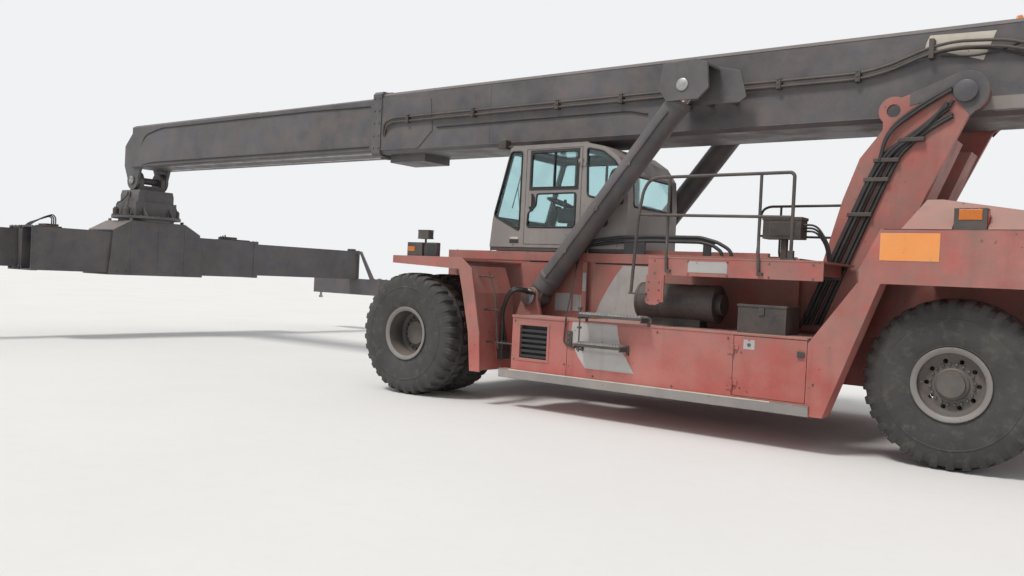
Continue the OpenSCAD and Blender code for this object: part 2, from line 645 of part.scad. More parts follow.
// Hub with its bore for the spindle and a round end cover
hub_wall = 60;
module hub(x, y0, y1, bore, cover) difference() {
    union() {
        pin_y(x, axle_z, bore + hub_wall, y0, y1);
        pin_y(x, axle_z, bore + 30, y1, y1 + cover);
    }
    pin_y(x, axle_z, bore + run, y0 - 1, y1 - 30);
}
outer_tyre_y = front_face_y - tyre_w / 2;
inner_tyre_y = outer_tyre_y - tyre_w - twin_gap;
module front_tyres() { tyre(0, outer_tyre_y); tyre(0, inner_tyre_y); }
front_dish = 240;
rear_dish = 60;
module front_rims() {
    rim(0, outer_tyre_y, front_dish, spindle_r + hub_wall);
    rim(0, inner_tyre_y, 90, spindle_r + hub_wall);
    hub(0, front_hub_y - 20 + gap, outer_tyre_y + tyre_w * 0.42 - front_dish - 10, spindle_r, 60);
}
module rear_rim() {
    rim(rear_x, rear_wheel_y, rear_dish, rear_spindle_r + hub_wall);
    hub(rear_x, yoke_out + gap, rear_wheel_y + tyre_w * 0.42 - rear_dish - 10, rear_spindle_r, 70);
}
module front_tyres_left() color(rubber) at_row() front_tyres();
module front_tyres_right() color(rubber) at_row() mirror([0, 1, 0]) front_tyres();
module front_rims_left() color(steel) at_row() front_rims();
module front_rims_right() color(steel) at_row() mirror([0, 1, 0]) front_rims();
module rear_tyre_left() color(rubber) at_row() tyre(rear_x, rear_wheel_y);
module rear_tyre_right() color(rubber) at_row() mirror([0, 1, 0]) tyre(rear_x, rear_wheel_y);
module rear_rim_left() color(steel) at_row() rear_rim();
module rear_rim_right() color(steel) at_row() mirror([0, 1, 0]) rear_rim();

// Air cleaner with its saddle, battery box, and the valve box on its post
cleaner_y = 1330;
cleaner_z = deck_z - 560;
cleaner_x = [walk_x[1] - 660, walk_x[1] + 300];
cleaner_r = 210;
saddle_x = [walk_x[1] - 480, walk_x[1] + 120];
battery_x = [tank_x0 + 300, tank_x0 + 820];
battery_y = [1250, 1650];
battery_h = 290;
valve_x = [walk_x[0] + 380, walk_x[0] + 790];
valve_y = [1200, 1400];
valve_z = [2160, 2380];
valve_post = 60;
module service_units() color(black) at_row() {
    pin_x(cleaner_y, cleaner_z, cleaner_r, cleaner_x[0], cleaner_x[1]);
    pin_x(cleaner_y, cleaner_z, cleaner_r - 90, cleaner_x[0] - 60, cleaner_x[0]);
    box(saddle_x[0], saddle_x[1], cleaner_y - 100, cleaner_y + 100, side_z1, cleaner_z - cleaner_r + 30);
    box(battery_x[0], battery_x[1], battery_y[0], battery_y[1], side_z1, side_z1 + battery_h);
    box(valve_x[0], valve_x[1], valve_y[0], valve_y[1], valve_z[0], valve_z[1]);
    box(valve_x[0] + 170, valve_x[0] + 170 + valve_post, valve_y[0] + 70, valve_y[0] + 70 + valve_post, walk_z, valve_z[0]);
}

// Lamps: on the left and right arms, and on the counterweight's corners
lamp_y = [1900, mud_y - 20];
lamp_z = [mud_top + mud_t, mud_top + mud_t + 200];
lamp_x = [-170, 90];
marker_x = [-420, -240];
work_lamp_x = [-290, -110];
work_post_x = -205;
work_post_r = 14;
work_lamp_z = [lamp_z[1] + 50, lamp_z[1] + 160];
module lamps() color(orange) at_row() both() {
    for (x = [lamp_x, marker_x]) box(x[0], x[1], lamp_y[0], lamp_y[1], lamp_z[0], lamp_z[1]);
    pin_z(work_post_x, lamp_y[0] + 50, work_post_r, lamp_z[0], work_lamp_z[0]);
    box(work_lamp_x[0], work_lamp_x[1], lamp_y[0], lamp_y[0] + 100, work_lamp_z[0], work_lamp_z[1]);
    box(rear_lamp_x[0], rear_lamp_x[1], rear_lamp_y[0], rear_lamp_y[1], tier_z + seat, tier_z + 190);
}

// Hose bundle down the tower, the two pipes that arch beside the cab, and the hoses of the lift cylinders' feet
hose_r = 20;
hose_y = tower_y1 + hose_r - 1;
bundle = [[1690, 1250], [1120, 2700], [940, 3100], [320, 3540]];
arc_r = 22;
arc_y = cab_w / 2 + arc_r + 6;
arc = [[-1860, seat], [-1860, 70], [-1900, 130], [-1990, 161], [-2430, 212], [-2860, 228], [-3540, 222], [-3760, 165],
    [-3890, 95], [-3935, 45], [-3935, seat]];
arc_low = [[-1950, seat], [-1950, 60], [-1990, 100], [-2430, 156], [-2860, 172], [-3540, 166], [-3700, 130],
    [-3790, 70], [-3815, 40], [-3815, seat]];
arc_posts = [[-3680, -3580, 140], [-2800, -2500, 155]];
foot_hose_r = 18;
foot_hose_y = [1420, 1490];
foot_hose = [
    [[-1300, 1455], [-1300, 1463], [-1310, 1478], [-1280, 1470], [-1190, 1370], [-1120, 1160], [-1150, 950]],
    [[-1385, 1420], [-1385, 1428], [-1390, 1455], [-1350, 1455], [-1250, 1365], [-1175, 1160], [-1190, 950]]];
// How far out each of the first points lies, as a share of the way from the bracket to the hose's own plane
foot_hose_out = [0, 0.3, 0.75, 1];
module hoses() color(black) at_row() {
    for (i = [0:2]) swept([for (k = [0:3]) let (p = bundle[k])
        [rear_x + p[0] - (k < 2 ? 46 : k < 3 ? 40 : 16) * i, hose_y, p[1] + (k < 3 ? 0 : 44) * i]], hose_r);
    for (path = [arc, arc_low]) swept([for (p = path) [p[0], arc_y, deck_z + p[1]]], arc_r);
    for (x = arc_posts) box(x[0], x[1], arc_y - 15, arc_y + 15, deck_z + seat, deck_z + x[2]);
    both() for (i = [0:1]) swept(concat(
        [for (k = [0:6]) let (p = foot_hose[i][k], share = foot_hose_out[min(k, 3)], y0 = foot_out + 20)
            [p[0], y0 + (foot_hose_y[i] - y0) * share, p[1]]],
        [for (z = [830, block_z[1] + seat]) [-1190, foot_hose_y[i], z]]), foot_hose_r);
    both() for (path = foot_hose)
        pin_y(path[0][0], path[0][1], foot_hose_r + 8, foot_out + seat, foot_out + 40);
}

// Cab: a side outline swept across, hollow, with cut windows and door openings
front_slope = [[-290, cab_z0], [-330, 2440], [-600, cab_z1 - 20], [-640, cab_z1]];
rear_round = [[-1850, cab_z1], [-2120, cab_z1 - 60], [-2330, cab_z1 - 200], [-2470, cab_z1 - 400]];
cab_outline = concat(front_slope, rear_round, [[-cab_back, 2700], [-cab_back, cab_z0]]);
cab_y = cab_w / 2;
door_x = [-1790, -880];
door_z = [cab_z0 + 40, cab_z1 - 50];
door_hinge_z = [door_z[0] + 220, door_z[1] - 260];
side_window = [[-350, 2480], [-610, 3370], [-800, 3370], [-800, 2270]];
screen_y = cab_w / 2 - 90;
screen_z = [2460, 3350];
screen_x = [-351, -599];
back_y = cab_w / 2 - 160;
back_z = [2600, 3000];
roof_x = [-1500, -800];
roof_y = 380;
quarter_window = [[-1890, 2740], [-1860, 3370], [-2100, 3320], [-2280, 3190], [-2400, 3020], [-2430, 2620]];
module cab_solid(inset, y) translate([0, y, 0]) rotate([90, 0, 0]) linear_extrude(2 * y) offset(delta = -inset)
    polygon(cab_outline);
module cab_openings() {
    side_plate(side_window, -cab_y - 1, cab_y + 1);
    side_plate(quarter_window, -cab_y - 1, cab_y + 1);
    // windscreen, rear window and roof window
    box(screen_x[1] - 120, screen_x[0] + 150, -screen_y, screen_y, screen_z[0], screen_z[1]);
    box(-cab_back - 1, -cab_back + 200, -back_y, back_y, back_z[0], back_z[1]);
    box(roof_x[0], roof_x[1], -roof_y, roof_y, cab_z1 - 90, cab_z1 + 1);
}
module cab_shell() color(cab_grey) at_row() {
    difference() {
        cab_solid(0, cab_y);
        cab_solid(cab_wall, cab_y - cab_wall);
        cab_openings();
        both() box(door_x[0], door_x[1], cab_y - cab_wall - 1, cab_y + 1, door_z[0], door_z[1]);
    }
    both() for (z = door_hinge_z) hinge_ear(door_x[0], cab_y, z, 1);
}
module cab_glass() color(pane) at_row() {
    both() {
        side_plate(side_window, cab_y - cab_wall / 2, cab_y - cab_wall / 2 + glass_t);
        side_plate(quarter_window, cab_y - cab_wall / 2, cab_y - cab_wall / 2 + glass_t);
    }
    // windscreen between the side walls, along the front slope
    side_plate([[screen_x[0] - glass_t / 2, screen_z[0]], [screen_x[0] + glass_t / 2, screen_z[0]],
        [screen_x[1] + glass_t / 2, screen_z[1]], [screen_x[1] - glass_t / 2, screen_z[1]]], -screen_y, screen_y);
    box(-cab_back + cab_wall / 2, -cab_back + cab_wall / 2 + glass_t, -back_y, back_y, back_z[0], back_z[1]);
    box(roof_x[0], roof_x[1], -roof_y, roof_y, cab_z1 - cab_wall / 2 - glass_t, cab_z1 - cab_wall / 2);
}
// Seat, steering column with its wheel, and the two consoles
floor_z = cab_z0 + cab_wall;
seat_x = [-1930, -1380];
seat_y = 260;
cushion_z = floor_z + 420;
back_outline = [[-1930, 0], [-1800, 0], [-1960, 680], [-2060, 660]];
column_outline = [[-820, 0], [-700, 0], [-950, 620], [-1010, 600]];
wheel_at = [-1000, 0, floor_z + 640];
wheel_r = 190;
wheel_tube = 16;
console_y = [-440, 300];
console_w = 140;
console_h = 560;
module cab_interior() color(black) at_row() {
    box(seat_x[0] + 30, seat_x[1] - 20, -seat_y + 60, seat_y - 60, floor_z, cushion_z - 140);
    box(seat_x[0], seat_x[1], -seat_y, seat_y, cushion_z - 140, cushion_z);
    side_plate([for (p = back_outline) [p[0], p[1] + cushion_z]], -seat_y + 20, seat_y - 20);
    side_plate([for (p = column_outline) [p[0], p[1] + floor_z]], -60, 60);
    translate(wheel_at) rotate([0, -22, 0]) {
        rotate_extrude() translate([wheel_r, 0]) circle(r = wheel_tube, $fn = 16);
        for (a = [0, 120, 240]) rotate(a) translate([0, -wheel_tube + 1, -6]) cube([wheel_r, 2 * wheel_tube - 2, 12]);
        translate([0, 0, -70]) cylinder(r = 40, h = 80);
    }
    for (y = console_y) box(-1800, -1250, y, y + console_w, floor_z, floor_z + console_h);
}

// Cab doors, hung at their rear edge
leaf_x = [door_x[0] + slit, door_x[1] - slit];
leaf_z = [door_z[0] + slit, door_z[1] - slit];
light_bar_x = -1355;
light_bar_w = 20;
handle_x = [-1000, -950];
handle_z = [2600, 2760];
handle_out = 22;
upper_light = [[-1720, 2860], [-1720, 3340], [-970, 3340], [-970, 2860]];
lower_light = [[-1710, 2320], [-1710, 2780], [-1010, 2780], [-940, 2700], [-930, 2320]];
module door_leaf() {
    difference() {
        box(leaf_x[0], leaf_x[1], cab_y - cab_wall, cab_y, leaf_z[0], leaf_z[1]);
        side_plate(upper_light, cab_y - cab_wall - 1, cab_y + 1);
        side_plate(lower_light, cab_y - cab_wall - 1, cab_y + 1);
    }
    // middle bar of the sliding light, and the handle
    box(light_bar_x, light_bar_x + light_bar_w, cab_y - cab_wall, cab_y - cab_wall / 2, upper_light[0][1], upper_light[1][1]);
    box(handle_x[0], handle_x[1], cab_y, cab_y + handle_out, handle_z[0], handle_z[1]);
    for (z = door_hinge_z) hinge_leaf(door_x[0], cab_y, z, 1);
}
module door_panes() {
    side_plate(upper_light, cab_y - cab_wall / 2, cab_y - cab_wall / 2 + glass_t);
    side_plate(lower_light, cab_y - cab_wall / 2, cab_y - cab_wall / 2 + glass_t);
}
module door_left() color(cab_grey) at_row() door_leaf();
module door_right() color(cab_grey) at_row() mirror([0, 1, 0]) door_leaf();
module door_left_glass() color(pane) at_row() door_panes();
module door_right_glass() color(pane) at_row() mirror([0, 1, 0]) door_panes();

// Locker doors in the side boxes, and the flat hood over the engine behind the cab
locker_t = 22;
latch_z = side_z0 + 480;
module locker_door() {
    box(locker_x[0] + slit, locker_x[1] - slit, side_y - locker_t, side_y, side_z0 + 20 + slit, side_z1 - 20 - slit);
    box(locker_x[0] + 30, locker_x[0] + 90, side_y, side_y + 14, latch_z, latch_z + 50);
    for (z = locker_hinge_z) hinge_leaf(locker_x[1], side_y, z, -1);
}
module locker_door_left() color(red) at_row() locker_door();
module locker_door_right() color(red) at_row() mirror([0, 1, 0]) locker_door();
module engine_hood() color(red) at_row() {
    box(hood_x[0], hood_x[1], -hood_y, hood_y, deck_z - deck_t, deck_z);
    for (y = hatch_hinge_y) {
        pin_y(hood_x[0], hatch_z, knuckle_r - 1, y + knuckle_h + seat, y + 2 * knuckle_h);
        pin_y(hood_x[0], hatch_z, hinge_r, y, y + 2 * knuckle_h);
        box(hood_x[0], hood_x[0] + strap, y + knuckle_h + seat, y + 2 * knuckle_h, deck_z, deck_z + strap_t);
    }
}

// Outer boom: a long box open at the front, with collar, lift brackets and pivot bosses
collar_l = 190;
collar_out = 30;
pad_half = 70;
nose_box = [boom_front - 1000, boom_front - 250];
nose_box_y = 300;
nose_box_h = 120;
lug_x = [boom_front - 150, boom_front - 60];
cheek_outline = [[boom_front - collar_l, boom_z0 + 60], [boom_front - collar_l, boom_top - 80],
    [boom_front - 1230, boom_top - 160], [boom_front - 1290, boom_z0 + 320], [boom_front - 1000, boom_z0 + 60]];
module boom_outer() color(slate) at_row() difference() {
    union() {
        difference() {
            union() {
                bevelled(boom_tail, boom_front, boom_y, boom_z0, boom_top, bevel);
                bevelled(boom_front - collar_l, boom_front, boom_y + collar_out, boom_z0 - collar_out,
                    boom_top + collar_out, bevel);
            }
            bevelled(boom_tail + boom_wall, boom_front + 1, boom_y - boom_wall, boom_z0 + boom_wall,
                boom_top - boom_wall, bevel - 15);
        }
        // wear pads inside the mouth
        for (y = [-pad_y, pad_y]) {
            box(boom_front - 170, boom_front - 20, y - pad_half, y + pad_half, boom_z0 + boom_wall - 1, inner_z0 - seat);
            box(boom_front - 170, boom_front - 20, y - pad_half, y + pad_half, inner_z1 + doubler + seat,
                boom_top - boom_wall + 1);
        }
        // wear pad pockets on the collar, and the box behind and under it
        for (x = lug_x) box(x - 25, x + 25, -250, 250, boom_top + collar_out, boom_top + 2 * collar_out);
        box(nose_box[0], nose_box[1], -nose_box_y, nose_box_y, boom_z0 - nose_box_h, boom_z0);
        both() {
            lift_bracket();
            pin_y(pivot_x, pivot_z, boss_r - 20, boom_y, tower_y1 - tower_t - gap);
            // side plate round the front of the box
            side_plate(cheek_outline, boom_y, boom_y + 12);
        }
    }
    pin_y(pivot_x, pivot_z, pivot_r + run, -tower_y1, tower_y1);
}
// Hood of the lift cylinder: an inner and an outer cheek, closed at the front and top, open below and behind
hood_in = lift_y - barrel_r - 15;
hood_out = lift_y + barrel_r + 15;
hood_rim = [[300, -40], [260, 270], [-160, 290]];
hood_inner = [[-560, 190], [-640, -120], [-560, -180], [200, -180]];
hood_outer = [[-300, 240], [-330, -60], [-200, -180], [200, -180]];
hood_under = [[-300, 240], [-300, 210], [-160, 260], [230, 240], [270, -40]];
hood_web_x = [200, -100, -420];
function from_top(points) = [for (p = points) [top_x + p[0], top_z + p[1]]];
module lift_bracket() {
    side_plate(from_top(concat(hood_rim, hood_inner)), hood_in - 25, hood_in);
    side_plate(from_top(concat(hood_rim, hood_outer)), hood_out, hood_out + 40);
    side_plate(from_top(concat(hood_rim, hood_under)), hood_in, hood_out);
    // webs from the boom's side to the inner cheek
    for (x = hood_web_x) box(top_x + x - 20, top_x + x + 20, boom_y, hood_in - 25, top_z - 160, top_z - 50);
}

// Pressure pipes and their clamps on both sides of the outer boom
pipe_z = [boom_z0 + 550, boom_z0 + 485];
pipe_r = 18;
pipe_front = boom_front - 1400;
pipe_bend = [[1100, 50, 0], [850, 60, 30], [450, 70, 190], [150, 70, 220], [-150, 70, 210], [-550, 60, 120], [-700, 30, 120]];
clamp_x = [279, -1214, -2220, -4326, -5218];
clamp_w = 60;
module boom_pipes() color(black) at_row() both() {
    for (z = pipe_z) swept(concat([[pipe_front, boom_y + pipe_bend[0][1], z]],
        [for (p = pipe_bend) [pivot_x + p[0], boom_y + p[1], z + p[2]]]), pipe_r);
    for (x = clamp_x) box(x - clamp_w / 2, x + clamp_w / 2, boom_y, boom_y + 80, pipe_z[1] - 45, pipe_z[0] + 35);
}

// Inner boom: a box that runs in the outer one, with a thicker top towards the head and two nose cheeks
doubler_x = 5550;
nose_y = 300;
nose_t = 60;
nose_end = head_x + 330;
head_pin_r = 70;
module boom_inner() color(slate) at_row() difference() {
    union() {
        difference() {
            bevelled(inner_tail, inner_end, inner_y, inner_z0, inner_z1, bevel - 20);
            bevelled(inner_tail - 1, inner_end - 40, inner_y - boom_wall, inner_z0 + boom_wall,
                inner_z1 - boom_wall, bevel - 30);
        }
        box(doubler_x, inner_end, -inner_y + 60, inner_y - 60, inner_z1, inner_z1 + doubler);
        // wear pads at the tail
        for (y = [-pad_y, pad_y]) {
            box(inner_tail, inner_tail + 150, y - pad_half, y + pad_half, inner_z1 - 1, boom_top - boom_wall - seat);
            box(inner_tail, inner_tail + 150, y - pad_half, y + pad_half, boom_z0 + boom_wall + seat, inner_z0 + 1);
        }
        both() {
            side_plate([[head_x - 270, inner_z0], [head_x - 180, head_z], [head_x + 180, head_z],
                [nose_end, inner_z0 + 60], [nose_end, inner_z0 + 480], [inner_end, inner_z1 - 40],
                [inner_end, inner_z0]], nose_y, nose_y + nose_t);
            pin_y(head_x, head_z, 200, nose_y, nose_y + nose_t);
        }
        box(inner_end, nose_end, -nose_y, nose_y, inner_z0 + 60, inner_z0 + 100);
    }
    pin_y(head_x, head_z, head_pin_r + run, -nose_y - nose_t - 1, nose_y + nose_t + 1);
}

// Lift cylinder, drawn upright at the foot pin and turned to the head pin
lift_len = norm([top_x - foot_x, top_z - foot_z]);
lift_turn = -atan2(foot_x - top_x, top_z - foot_z);
barrel_len = lift_len - 170;
module at_lift() translate([foot_x, lift_y, foot_z]) rotate([0, lift_turn, 0]) children();
piston_r = barrel_r - 25;
piston_at = 195;
piston_h = 40;
bottom_h = 185;
gland_h = 60;
foot_eye_r = 140;
eye_r = 150;
eye_w = 180;
top_pin_r = 60;
module lift_barrel() at_lift() difference() {
    union() {
        rotate([90, 0, 0]) translate([0, 0, -foot_eye]) cylinder(r = foot_eye_r, h = 2 * foot_eye);
        translate([-100, -foot_eye, 0]) cube([200, 2 * foot_eye, bottom_h - 15]);
        translate([0, 0, bottom_h - 25]) cylinder(r = barrel_r, h = barrel_len - bottom_h + 25);
    }
    rotate([90, 0, 0]) translate([0, 0, -foot_eye - 1]) cylinder(r = foot_pin_r + run, h = 2 * foot_eye + 2);
    translate([0, 0, bottom_h]) cylinder(r = piston_r, h = barrel_len - gland_h - bottom_h);
    translate([0, 0, bottom_h]) cylinder(r = lift_rod_r + run, h = barrel_len);
}
module lift_rod() at_lift() {
    translate([0, 0, piston_at]) cylinder(r = lift_rod_r, h = lift_len - piston_at - 100);
    translate([0, 0, piston_at]) cylinder(r = piston_r - run, h = piston_h);
    translate([0, 0, lift_len]) rotate([90, 0, 0]) {
        translate([0, 0, -eye_w / 2]) cylinder(r = eye_r, h = eye_w);
        translate([0, 0, -barrel_r]) cylinder(r = top_pin_r, h = 2 * barrel_r);
    }
}
module lift_barrel_left() color(slate) at_row() lift_barrel();
module lift_barrel_right() color(slate) at_row() mirror([0, 1, 0]) lift_barrel();
module lift_rod_left() color(steel) at_row() lift_rod();
module lift_rod_right() color(steel) at_row() mirror([0, 1, 0]) lift_rod();

// Hanger: a yoke on the head pin, with a column and the upper ring of the slewing bearing
hanger_top = head_z - 215;
yoke_top = head_z - 110;
cheek_y = [200, 290];
cheek_x = 190;
column_x = 350;
column_y = 410;
column_wall = 60;
flange_out = 60;
flange_h = 310;
ring_h = 60;
slew_r = 560;
slew_top_r = 700;
slew_top_t = 50;
slew_gap = 6;
top_plate_z = ring_z + ring_h;
column_z0 = top_plate_z + slew_top_t;
module hanger() color(slate) at_row() {
    both() {
        pin_y(head_x, head_z, cheek_x, cheek_y[0], cheek_y[1]);
        box(head_x - cheek_x, head_x + cheek_x, cheek_y[0], cheek_y[1], hanger_top, head_z);
    }
    pin_y(head_x, head_z, head_pin_r, -nose_y - nose_t - 15, nose_y + nose_t + 15);
    box(head_x - cheek_x, head_x + cheek_x, -cheek_y[1], cheek_y[1], hanger_top - 1, yoke_top);
    difference() {
        union() {
            across(head_x - column_x, head_x + column_x, [[column_y, column_z0], [column_y, hanger_top - 100],
                [column_y - 30, hanger_top]]);
            box(head_x - column_x - 20, head_x + column_x + 20, -column_y - flange_out, column_y + flange_out,
                column_z0, column_z0 + flange_h);
        }
        box(head_x - column_x + column_wall, head_x + column_x - column_wall, -column_y + column_wall,
            column_y - column_wall, column_z0 + column_wall, hanger_top - column_wall);
    }
    pin_z(head_x, 0, slew_top_r, top_plate_z, column_z0);
}

// Carriage: the turning part, a hood over the two main tubes that the spreader slides through
slide_pad = [90, 80];
module carriage() color(slate) at_row() {
    pin_z(head_x, 0, slew_r, ring_z, top_plate_z - slew_gap);
    pin_z(head_x, 0, slew_r - 80, top_plate_z - slew_gap, top_plate_z - seat);
    difference() {
        across(head_x - carriage_x, head_x + carriage_x, [[carriage_foot, tube_z0 - gap - plate_t],
            [carriage_half, shoulder_z], [hood_half, ring_z]]);
        box(head_x - carriage_x + plate_t, head_x + carriage_x - plate_t, -carriage_foot - 1, carriage_foot + 1,
            tube_z0 - gap, roof_z);
        across(head_x - carriage_x + plate_t, head_x + carriage_x - plate_t, [[carriage_half - 210, roof_z - 1],
            [hood_half - 20, ring_z - plate_t - 12]]);
    }
    // wear pads under and over the main tubes
    for (s = [-1, 1], e = [-1, 1]) {
        x = head_x + s * tube_mid;
        y = e * (carriage_half - 120);
        pad(x, y, tube_z0 - gap - 1, tube_z0 - seat);
        pad(x, y, tube_top + seat, roof_z + 1);
    }
}
// A front view outline in Y and Z, given for its left half, from x0 to x1
module across(x0, x1, half) translate([x0, 0, 0]) rotate([90, 0, 90]) linear_extrude(x1 - x0)
    polygon(concat(half, [for (i = [len(half) - 1:-1:0]) [-half[i][0], half[i][1]]]));
module pad(x, y, z0, z1) box(x - slide_pad[0], x + slide_pad[0], y - slide_pad[1], y + slide_pad[1], z0, z1);

// Spreader frame: two main tubes side by side with end collars and the hose trays on top
tube_wall = 20;
collar_w = 120;
collar_up = 8;
collar_at = tube_half - collar_w / 2;
module spreader_frame() color(slate) at_row() {
    for (s = [-1, 1]) let (x = head_x + s * tube_mid) difference() {
        union() {
            box(x - tube_w / 2, x + tube_w / 2, -tube_half, tube_half, tube_z0, tube_top);
            for (e = [-1, 1]) box(x - tube_w / 2 - collar_up, x + tube_w / 2 + collar_up,
                e * collar_at - collar_w / 2, e * collar_at + collar_w / 2, tube_z0 - collar_up, tube_top + collar_up);
        }
        box(x - tube_w / 2 + tube_wall, x + tube_w / 2 - tube_wall, -tube_half - 1, tube_half + 1,
            tube_z0 + tube_wall, tube_top - tube_wall);
    }
    // wear pads in the mouth that each arm slides through
    for (s = [-1, 1]) let (x = head_x + s * tube_mid, y = s * (tube_half - 100)) {
        pad(x, y, tube_z0 + tube_wall - 1, arm_z0 - seat);
        pad(x, y, arm_z0 + arm_h + seat, tube_top - tube_wall + 1);
    }
    // bridges between the tubes, outside the carriage's travel
    for (e = [-1, 1]) box(head_x - tube_mid + tube_w / 2, head_x + tube_mid - tube_w / 2,
        e * collar_at - collar_w / 2, e * collar_at + collar_w / 2, tube_z0 + 60, tube_top - 60);
}

// Telescopic arm with its end beam, brace and the two corner boxes for the twistlocks
arm_tail = tube_half - 1100;
arm_pad = 140;
arm_wall = 18;
end_y = lock_y - 140;
end_t = 40;
brace = [[480, 400], [900, 1050]];
module arm(s) {
    mid = head_x + s * tube_mid;
    difference() {
        box(mid - arm_w / 2, mid + arm_w / 2, arm_tail, end_y, arm_z0, arm_z0 + arm_h);
        box(mid - arm_w / 2 + arm_wall, mid + arm_w / 2 - arm_wall, arm_tail - 1, end_y - arm_wall,
            arm_z0 + arm_wall, arm_z0 + arm_h - arm_wall);
    }
    // wear pads at the inner end
    box(mid - slide_pad[0], mid + slide_pad[0], arm_tail, arm_tail + arm_pad, tube_z0 + tube_wall + seat, arm_z0 + 1);
    box(mid - slide_pad[0], mid + slide_pad[0], arm_tail, arm_tail + arm_pad, arm_z0 + arm_h - 1,
        tube_top - tube_wall - seat);
    difference() {
        box(head_x - end_half, head_x + end_half, end_y, end_y + end_w, end_z0, end_z0 + end_h);
        for (e = [-1, 1]) pin_z(head_x + e * lock_pitch / 2, lock_y, lock_r + run, end_z0 - 1, end_z0 + end_h + 1);
    }
    // upright end plate and braces down to the end beam
    box(mid - arm_w / 2 - 40, mid + arm_w / 2 + 40, end_y, end_y + end_t, end_z0 + end_h, arm_z0 + arm_h + 20);
    for (e = [-1, 1]) side_plate([for (p = [[brace[0][0], 1], [brace[0][1], 1], [brace[1][0], 0], [brace[1][1], 0]])
        [head_x + e * p[0] + s * 60 * p[1], p[1] > 0 ? arm_z0 + arm_h : end_z0 + end_h]], end_y, end_y + end_t);
}
module arm_left() color(slate) at_row() arm(1);
module arm_right() color(slate) at_row() mirror([0, 1, 0]) arm(-1);

// Twistlock: a shaft with an oblong head, at rest across the end beam, open to a container's corner
lock_head = [60, 104, 60];
lock_head_r = 55;
lock_drop = 90;
lock_collar_r = 60;
lock_collar_h = 30;
module twistlock(e) translate([head_x + e * lock_pitch / 2, lock_y, 0]) {
    pin_z(0, 0, lock_r, end_z0 - lock_drop, end_z0 + end_h + lock_collar_h + 10);
    translate([0, 0, end_z0 - lock_drop - lock_head[2]]) intersection() {
        translate([-lock_head[0] / 2, -lock_head[1] / 2, 0]) cube(lock_head);
        cylinder(r = lock_head_r, h = lock_head[2]);
    }
    pin_z(0, 0, lock_collar_r, end_z0 + end_h + seat, end_z0 + end_h + lock_collar_h);
}
module twistlock_left_front() color(steel) at_row() twistlock(1);
module twistlock_left_rear() color(steel) at_row() twistlock(-1);
module twistlock_right_front() color(steel) at_row() mirror([0, 1, 0]) twistlock(1);
module twistlock_right_rear() color(steel) at_row() mirror([0, 1, 0]) twistlock(-1);

chassis_frame();
boom_tower();
counterweight();
side_boxes();
mudguards();
deck();
railings();
steps();
engine();
driveline();
front_axle();
steer_axle();
service_units();
lamps();
hoses();
cab_shell();
cab_glass();
cab_interior();
door_left();
door_left_glass();
door_right();
door_right_glass();
locker_door_left();
locker_door_right();
engine_hood();
boom_outer();
boom_pipes();
boom_inner();
lift_barrel_left();
lift_barrel_right();
lift_rod_left();
lift_rod_right();
hanger();
carriage();
spreader_frame();
arm_left();
arm_right();
twistlock_left_front();
twistlock_left_rear();
twistlock_right_front();
twistlock_right_rear();
front_tyres_left();
front_rims_left();
front_tyres_right();
front_rims_right();
rear_tyre_left();
rear_rim_left();
rear_tyre_right();
rear_rim_right();
knuckle_left();
knuckle_right();
steer_rod();
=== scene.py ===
import math

import bpy
from mathutils import Matrix, Vector


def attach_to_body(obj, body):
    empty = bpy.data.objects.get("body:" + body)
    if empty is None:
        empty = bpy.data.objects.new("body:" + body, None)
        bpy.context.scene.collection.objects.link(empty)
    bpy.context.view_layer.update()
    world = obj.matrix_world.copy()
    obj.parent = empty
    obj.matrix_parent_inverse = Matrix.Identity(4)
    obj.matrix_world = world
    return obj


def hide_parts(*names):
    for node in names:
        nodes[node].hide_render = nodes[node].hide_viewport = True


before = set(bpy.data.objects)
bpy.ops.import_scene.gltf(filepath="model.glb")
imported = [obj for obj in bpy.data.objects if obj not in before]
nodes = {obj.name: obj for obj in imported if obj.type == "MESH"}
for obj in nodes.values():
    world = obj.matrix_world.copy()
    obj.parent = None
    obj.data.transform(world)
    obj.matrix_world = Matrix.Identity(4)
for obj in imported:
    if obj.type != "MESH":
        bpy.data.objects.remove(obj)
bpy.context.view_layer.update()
scene = bpy.context.scene
scene.view_settings.view_transform = "Standard"

MID = 1.445          # the frame's origin, measured from the front axle
TYRE_R = 0.809
REAR = -6.5          # the rear axle
DECK_Z = 1.98
SIDES = (("left", 1), ("right", -1))
BOTH = (1, -1)


def place(p):
    """A point of the drawing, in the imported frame."""
    return Vector((p[0] - MID, p[1], p[2]))


# camera, as fitted to the photograph
FOCAL_PX, WIDTH_PX, SENSOR = 883.697, 1024, 36
CAMERA_AT = (-8.08903, 10.61025, 1.61241)
YAW, PITCH, ROLL = -0.93186, -0.0118, 0.04801
camera = bpy.data.objects.new("camera", bpy.data.cameras.new("camera"))
scene.collection.objects.link(camera)
scene.camera = camera
camera.data.sensor_width = SENSOR
camera.data.lens = FOCAL_PX / WIDTH_PX * SENSOR
camera.data.clip_end = 500
ahead = Vector((math.cos(PITCH) * math.cos(YAW), math.cos(PITCH) * math.sin(YAW), math.sin(PITCH)))
right = ahead.cross(Vector((0, 0, 1))).normalized()
up = right.cross(ahead)
right, up = math.cos(ROLL) * right + math.sin(ROLL) * up, math.cos(ROLL) * up - math.sin(ROLL) * right
looking = Matrix((right, up, -ahead)).transposed().to_4x4()
camera.matrix_world = Matrix.Translation(place(CAMERA_AT)) @ looking


